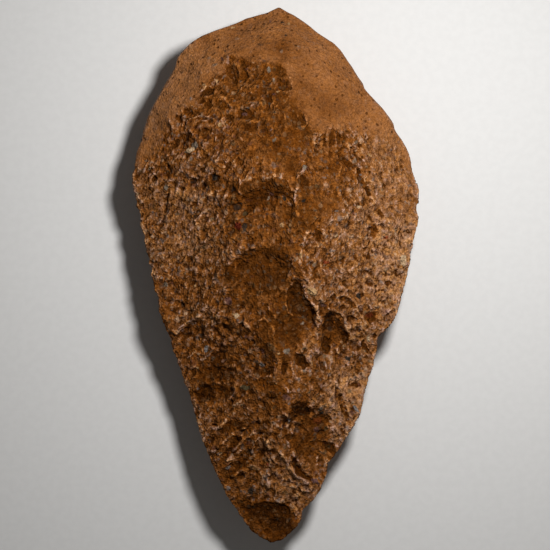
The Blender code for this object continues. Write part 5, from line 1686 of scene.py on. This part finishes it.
    def crest(self) -> np.ndarray:
        """How near each place is to the crest of a ridge: 1 on it, falling evenly to either side."""
        total = np.zeros(len(self.places))
        for line, near, distance, full in self.beside_lines(3, 0.10):
            if line.form is Form.RIDGE:
                tent = np.clip(1 - 0.48 * np.abs(distance) / line.width, 0, 0.60 + 0.24 * line.pale)
                total[near] = np.maximum(total[near], tent * full)
        return total * np.clip(0.93 + 0.25 * lumps(self.places, Lay(2.6, 34)), 0.6, 1.0) * self.upper

    def line_height(self) -> np.ndarray:
        """The height that the ridges, grooves and scarps add."""
        total = np.zeros(len(self.places))
        for line, near, distance, full in self.beside_lines(9, 0.12):
            if line.form is Form.SCARP:
                lip = np.exp(-((distance / line.width) ** 2)) * 0.35
                fall = eased(-distance, 0, line.width) * np.exp(-np.maximum(-distance, 0) / (3 * line.width))
                shape = lip - fall
            else:
                shape = np.exp(-1.2 * np.abs(distance) / line.width)
                shape *= -1 if line.form is Form.GROOVE else 1
            total[near] += line.height * shape * full
        return total * np.clip(0.95 + 0.7 * lumps(self.places, Lay(3.0, 31)), 0.35, 1.4) * self.upper

    def pit_depth(self) -> np.ndarray:
        """The depth that the pits and hollows take away."""
        total = np.zeros(len(self.places))
        plan = self.plan_near(self.line_stray)
        for pit in PITS:
            total = np.maximum(total, pit.depth * pit.bump(plan))
        for hollow in HOLLOWS:
            total = np.maximum(total, hollow.depth * inside(plan, hollow.corners, 1.5))
        return total * self.upper

    def swell_height(self) -> np.ndarray:
        """The height of the broad swells."""
        total = np.zeros(len(self.places))
        for swell in SWELLS:
            along, across = swell.offsets(self.places[:, :2])
            total += swell.rise * np.exp(-((along / swell.length) ** 2) - (across / swell.width) ** 2)
        return total * self.upper * (1 - self.rim)

    def shift(self) -> np.ndarray:
        """How far each point of the skin moves, one row for each."""
        height = self.grain_height() + self.line_height() - self.pit_depth() + self.swell_height()
        height += self.margin_reach * self.rim
        plan = self.plan_near(self.pebble_stray)
        for pebble in PEBBLES:
            height += pebble.proud * pebble.bump(plan) * self.upper
        return self.normals * height[:, None]

    def masks(self, fine: np.ndarray, broad: np.ndarray) -> dict[Mask, np.ndarray]:
        """The values that the finish reads.

        Args:
            fine: How far each point stands out of its close surroundings.
            broad: How far it stands out of its wider surroundings.

        Returns:
            Each mask's values.
        """
        # Places that stand out are worn pale and given a painted highlight; places that lie low are given
        # painted shade.
        worn = self.worn[0].over(fine) + self.worn[1].over(broad)
        shaded = self.shaded[0].over(-fine) + self.shaded[1].over(-broad)
        weathered = 1 - self.soft_worked
        halo, pocket, stain_and_shade = self.pockets()
        return {
            Mask.WEATHERED: weathered,
            Mask.STANDING: (worn - shaded) * (1 - 0.5 * weathered),
            Mask.TONE: np.clip(self.tone() + halo, *self.tone_limits),
            Mask.SMOOTH: np.maximum(weathered, self.clean * 0.5),
            Mask.PEBBLE: self.tint(),
            Mask.POCKET: pocket,
            Mask.STAIN: stain_and_shade,
            Mask.CREST: self.crest(),
        }

    def tone(self) -> np.ndarray:
        """How pale, or below 0 how dark, the patches and spots make each place, with stain and bleaching and
        with painted light and painted shade.
        """
        tone = np.zeros(len(self.places))
        plan = self.plan_near(self.tone_stray)
        for patch in PATCHES:
            tone += inside(plan, patch.corners, patch.fade) * patch.shift * self.upper
        for spot in SPOTS:
            away = ((self.places[:, :2] - (spot.x, spot.y)) ** 2).sum(axis=1)
            tone += spot.shift * np.exp(-away / spot.reach**2) * self.upper
        return tone

    def pockets(self) -> tuple[np.ndarray, np.ndarray, np.ndarray]:
        """How pale the rims round the hollows are, worn and given a painted highlight, how far inside one a
        place is, and how dark it is painted there with iron stain and painted shade.
        """
        halo, pocket, stain_and_shade = np.zeros((3, len(self.places)))
        plan = self.plan_near(self.line_stray)
        for hollow in HOLLOWS:
            within = inside(plan, hollow.corners, 1.8) * self.upper
            halo += 0.25 * inside(plan, hollow.corners, 3.2) * (1 - within) * self.upper
            stain_and_shade = np.maximum(stain_and_shade, hollow.stain_and_shade * eased(within, 0, 0.5))
            pocket = np.maximum(pocket, within)
        return halo, pocket, stain_and_shade

    def tint(self) -> np.ndarray:
        """The pebbles' colour at each place, with how much of it shows as its alpha."""
        tint = np.zeros((len(self.places), 4))
        plan = self.plan_near(self.pebble_stray)
        for pebble in PEBBLES:
            share = eased(pebble.bump(plan), 0.25, 0.75) * pebble.strength * self.upper
            tint[:, :3] += (np.array(pebble.colour) - tint[:, :3]) * (share > 0)[:, None]
            tint[:, 3] = np.maximum(tint[:, 3], share)
        return tint


@dataclass
class StoneSkin:
    """The axe's visible stone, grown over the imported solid.

    Lengths here are in metres, but its places and relief are worked out in millimetres.
    """

    solid: bpy.types.Object
    voxel: float = 0.00038
    # How often the skin is eased to lose the solid's facets, how freely it moves on the steepest margin,
    # and the height over which it comes free of the flat that it rests on, in millimetres.
    facet_rounds: int = 9
    margin_freedom: float = 0.2
    resting_span: Span = (0.05, 0.8)
    # How often it is eased to find its close and its wider surroundings.
    fine_rounds: int = 6
    broad_rounds: int = 60
    triangles: int = 196000
    upper_thinning: float = 0.55
    piece: bpy.types.Object = field(init=False)

    def build(self, material: bpy.types.Material) -> bpy.types.Object:
        """Makes the skin, gives it relief and masks, and dresses it.

        Args:
            material: The stone's material.

        Returns:
            The finished piece.
        """
        self.piece = self.even_piece()
        self.raise_relief()
        self.thin_out()
        self.paint()
        self.piece.data.materials.append(material)
        self.piece.data.shade_smooth()
        return self.piece

    def even_piece(self) -> bpy.types.Object:
        """The solid's form as one piece of small, even faces."""
        shape = bmesh.new()
        shape.from_mesh(self.solid.data)
        bmesh.ops.remove_doubles(shape, verts=shape.verts, dist=1e-6)
        piece = bpy.data.objects.new("axe_stone", bpy.data.meshes.new("axe_stone"))
        shape.to_mesh(piece.data)
        shape.free()
        bpy.context.scene.collection.objects.link(piece)
        remesh = piece.modifiers.new("even", "REMESH")
        remesh.mode = "VOXEL"
        remesh.voxel_size = self.voxel
        self.apply(piece)
        return piece

    @staticmethod
    def apply(piece: bpy.types.Object) -> None:
        """Gives a piece the mesh that its modifiers make, in their place.

        Args:
            piece: The piece, with its modifiers.
        """
        graph = bpy.context.evaluated_depsgraph_get()
        mesh = bpy.data.meshes.new_from_object(piece.evaluated_get(graph))
        piece.modifiers.clear()
        piece.data = mesh

    def read(self, name: str) -> np.ndarray:
        """One vector for each of the skin's points: co, its place in metres, or normal, the way it faces."""
        flat = np.zeros(len(self.piece.data.vertices) * 3, np.float32)
        self.piece.data.vertices.foreach_get(name, flat)
        return flat.reshape(-1, 3).astype(float)

    def move_to(self, places: np.ndarray) -> None:
        """Moves the skin's points to new places, in millimetres."""
        self.piece.data.vertices.foreach_set("co", (places * MM).astype(np.float32).ravel())
        self.piece.data.update()

    def edges(self) -> np.ndarray:
        """The two points of each of the skin's edges."""
        flat = np.zeros(len(self.piece.data.edges) * 2, np.int32)
        self.piece.data.edges.foreach_get("vertices", flat)
        return flat.reshape(-1, 2)

    @staticmethod
    def eased_out(
        values: np.ndarray, edges: np.ndarray, rounds: int, freedom: np.ndarray, step: float = 0.6
    ) -> np.ndarray:
        """Values at the points, each drawn again and again towards the mean of its neighbours.

        Args:
            values: One row for each point.
            edges: The two points of each edge.
            rounds: How many times it is done.
            freedom: How freely each point moves, from 0 to 1.
            step: How much of the way to the mean a free point goes each time.

        Returns:
            The smoothed values.
        """
        first, second = edges.T
        count = np.bincount(edges.ravel(), minlength=len(values))[:, None]
        for _ in range(rounds):
            total = np.column_stack([
                np.bincount(first, row[second], len(values)) + np.bincount(second, row[first], len(values))
                for row in values.T
            ])
            values = values + freedom[:, None] * step * (total / count - values)
        return values

    def raise_relief(self) -> None:
        """Takes the solid's facets off the skin and raises all of its relief."""
        places = self.read("co") / MM
        steep = 1 - np.clip(np.abs(self.read("normal")[:, 2]) / 0.5, 0, 1)
        freedom = np.clip(1 - steep, self.margin_freedom, 1.0) * eased(places[:, 2], *self.resting_span)
        places = self.eased_out(places, self.edges(), self.facet_rounds, freedom)
        self.move_to(places)
        places = places + Relief(places, self.read("normal")).shift()
        places[:, 2] = np.maximum(places[:, 2], 0.0)
        self.move_to(places)

    def thin_out(self) -> None:
        """Thins the skin to its triangle budget, the underside more than the face on top."""
        count = sum(len(face.vertices) - 2 for face in self.piece.data.polygons)
        upper = self.read("normal")[:, 2] >= 0
        group = self.piece.vertex_groups.new(name="plain_side")
        group.add(np.flatnonzero(~upper).tolist(), 1.0, "REPLACE")
        group.add(np.flatnonzero(upper).tolist(), self.upper_thinning, "REPLACE")
        thin = self.piece.modifiers.new("thin_out", "DECIMATE")
        thin.ratio = min(1.0, self.triangles / count)
        thin.vertex_group = group.name
        self.apply(self.piece)
        self.piece.vertex_groups.clear()
        LOG.info("skin thinned from %d to %d triangles", count, len(self.piece.data.polygons))

    def paint(self) -> None:
        """Keeps the masks that the finish reads at each point of the skin."""
        places, normals, edges = self.read("co") / MM, self.read("normal"), self.edges()
        free = np.ones(len(places))
        fine, broad = (
            ((places - self.eased_out(places, edges, rounds, free)) * normals).sum(axis=1)
            for rounds in (self.fine_rounds, self.broad_rounds)
        )
        for mask, value in Relief(places, normals).masks(fine, broad).items():
            kind, name = ("FLOAT_COLOR", "color") if value.ndim == 2 else ("FLOAT", "value")
            layer = self.piece.data.attributes.new(mask.value, kind, "POINT")
            layer.data.foreach_set(name, value.astype(np.float32).ravel())


# --- The studio ----------------------------------------------------------------------------------------


@dataclass(frozen=True)
class FloorFinish:
    """Pale matt paper with a faint tooth."""

    colour: Colour = (0.66, 0.65, 0.635)
    shade: float = 0.97
    tooth_pitch: float = 0.0025
    tooth: Ramp = Ramp(0.3, 0.7)
    roughness: float = 0.9

    def material(self) -> bpy.types.Material:
        """The floor's material."""
        material = bpy.data.materials.new("pale_paper")
        material.use_nodes = True
        wiring = Wiring(material.node_tree)
        shader = material.node_tree.nodes["Principled BSDF"]
        place = wiring.node("ShaderNodeTexCoord").outputs["Object"]
        share = wiring.ramp(wiring.noise(place, self.tooth_pitch), self.tooth)
        colour = wiring.mix(share, rgba(self.colour, self.shade), rgba(self.colour))
        wiring.feed(shader.inputs["Base Color"], colour)
        wiring.feed(shader.inputs["Roughness"], self.roughness)
        return material


@dataclass
class Studio:
    """A pale floor, one soft lamp at the upper right, a weak fill and the camera straight above."""

    middle: Vector
    margin_level: float = 0.0183
    floor_width: float = 2.4
    floor_drop: float = 0.00005
    lamp_bearing: float = 57.0
    lamp_rise: float = 62.0
    lamp_distance: float = 0.27
    lamp_size: float = 0.05
    lamp_power: float = 0.94
    fill_power: float = 0.09
    fill_colour: Colour = (1.0, 0.98, 0.95)
    camera_height: float = 1.0
    frame_width: float = 0.1852
    frame_shift: tuple[float, float] = (-0.00035, 0.0001)
    sensor: float = 36.0
    clip_end: float = 10.0

    def build(self) -> None:
        """Makes the floor, the lights and the camera."""
        self.floor()
        self.lamp()
        self.surroundings()
        self.camera()

    def floor(self) -> None:
        """The floor, which isn't part of the object."""
        shape = bmesh.new()
        bmesh.ops.create_grid(shape, x_segments=1, y_segments=1, size=self.floor_width / 2)
        mesh = bpy.data.meshes.new("studio_floor")
        shape.to_mesh(mesh)
        shape.free()
        floor = bpy.data.objects.new("studio_floor", mesh)
        floor.location.z = -self.floor_drop
        bpy.context.scene.collection.objects.link(floor)
        mesh.materials.append(FloorFinish().material())
        floor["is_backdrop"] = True

    def lamp(self) -> None:
        """The soft key lamp, turned towards the axe."""
        bearing, rise = math.radians(self.lamp_bearing), math.radians(self.lamp_rise)
        way = Vector((math.cos(rise) * math.cos(bearing), math.cos(rise) * math.sin(bearing), math.sin(rise)))
        light = bpy.data.lights.new("key_lamp", "AREA")
        light.shape = "DISK"
        light.size = self.lamp_size
        light.energy = self.lamp_power
        lamp = bpy.data.objects.new("key_lamp", light)
        lamp.location = self.middle + way * self.lamp_distance
        lamp.rotation_euler = way.to_track_quat("Z", "Y").to_euler()
        bpy.context.scene.collection.objects.link(lamp)

    def surroundings(self) -> None:
        """A weak even light from all round."""
        world = bpy.data.worlds.new("studio")
        world.use_nodes = True
        sky = world.node_tree.nodes["Background"]
        sky.inputs["Color"].default_value = rgba(self.fill_colour)
        sky.inputs["Strength"].default_value = self.fill_power
        bpy.context.scene.world = world

    def camera(self) -> None:
        """The camera, looking straight down with the point of the axe towards the picture's foot."""
        eye = bpy.data.cameras.new("camera")
        eye.sensor_width = self.sensor
        eye.lens = self.sensor * self.camera_height / self.frame_width
        eye.clip_end = self.clip_end
        camera = bpy.data.objects.new("camera", eye)
        camera.location = (*self.frame_shift, self.margin_level + self.camera_height)
        bpy.context.scene.collection.objects.link(camera)
        bpy.context.scene.camera = camera
        bpy.context.scene.view_settings.view_transform = "Standard"


def plain(bounds: object) -> list[list[float]]:
    """A box's two corners as plain lists of numbers."""
    return [[float(number) for number in corner] for corner in bounds]


def main() -> None:
    """Builds the axe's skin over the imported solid, and the studio round it."""
    logging.basicConfig(level=logging.INFO, format="%(name)s: %(message)s")
    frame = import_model()
    solid_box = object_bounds()
    solid = frame["nodes"]["hand_axe"]
    low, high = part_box("hand_axe")
    skin = StoneSkin(solid)
    stone = skin.build(StoneFinish().material(Crumbs().group(), Streaks().group(), Speckles.group()))
    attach(stone, "root")
    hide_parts("hand_axe")
    LOG.info("%s: %d points, %d faces", stone.name, len(stone.data.vertices), len(stone.data.polygons))
    Studio(middle=(low + high) / 2).build()
    {"cad": plain(solid_box), "visual": plain(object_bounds())}


if __name__ == "__main__":
    main()
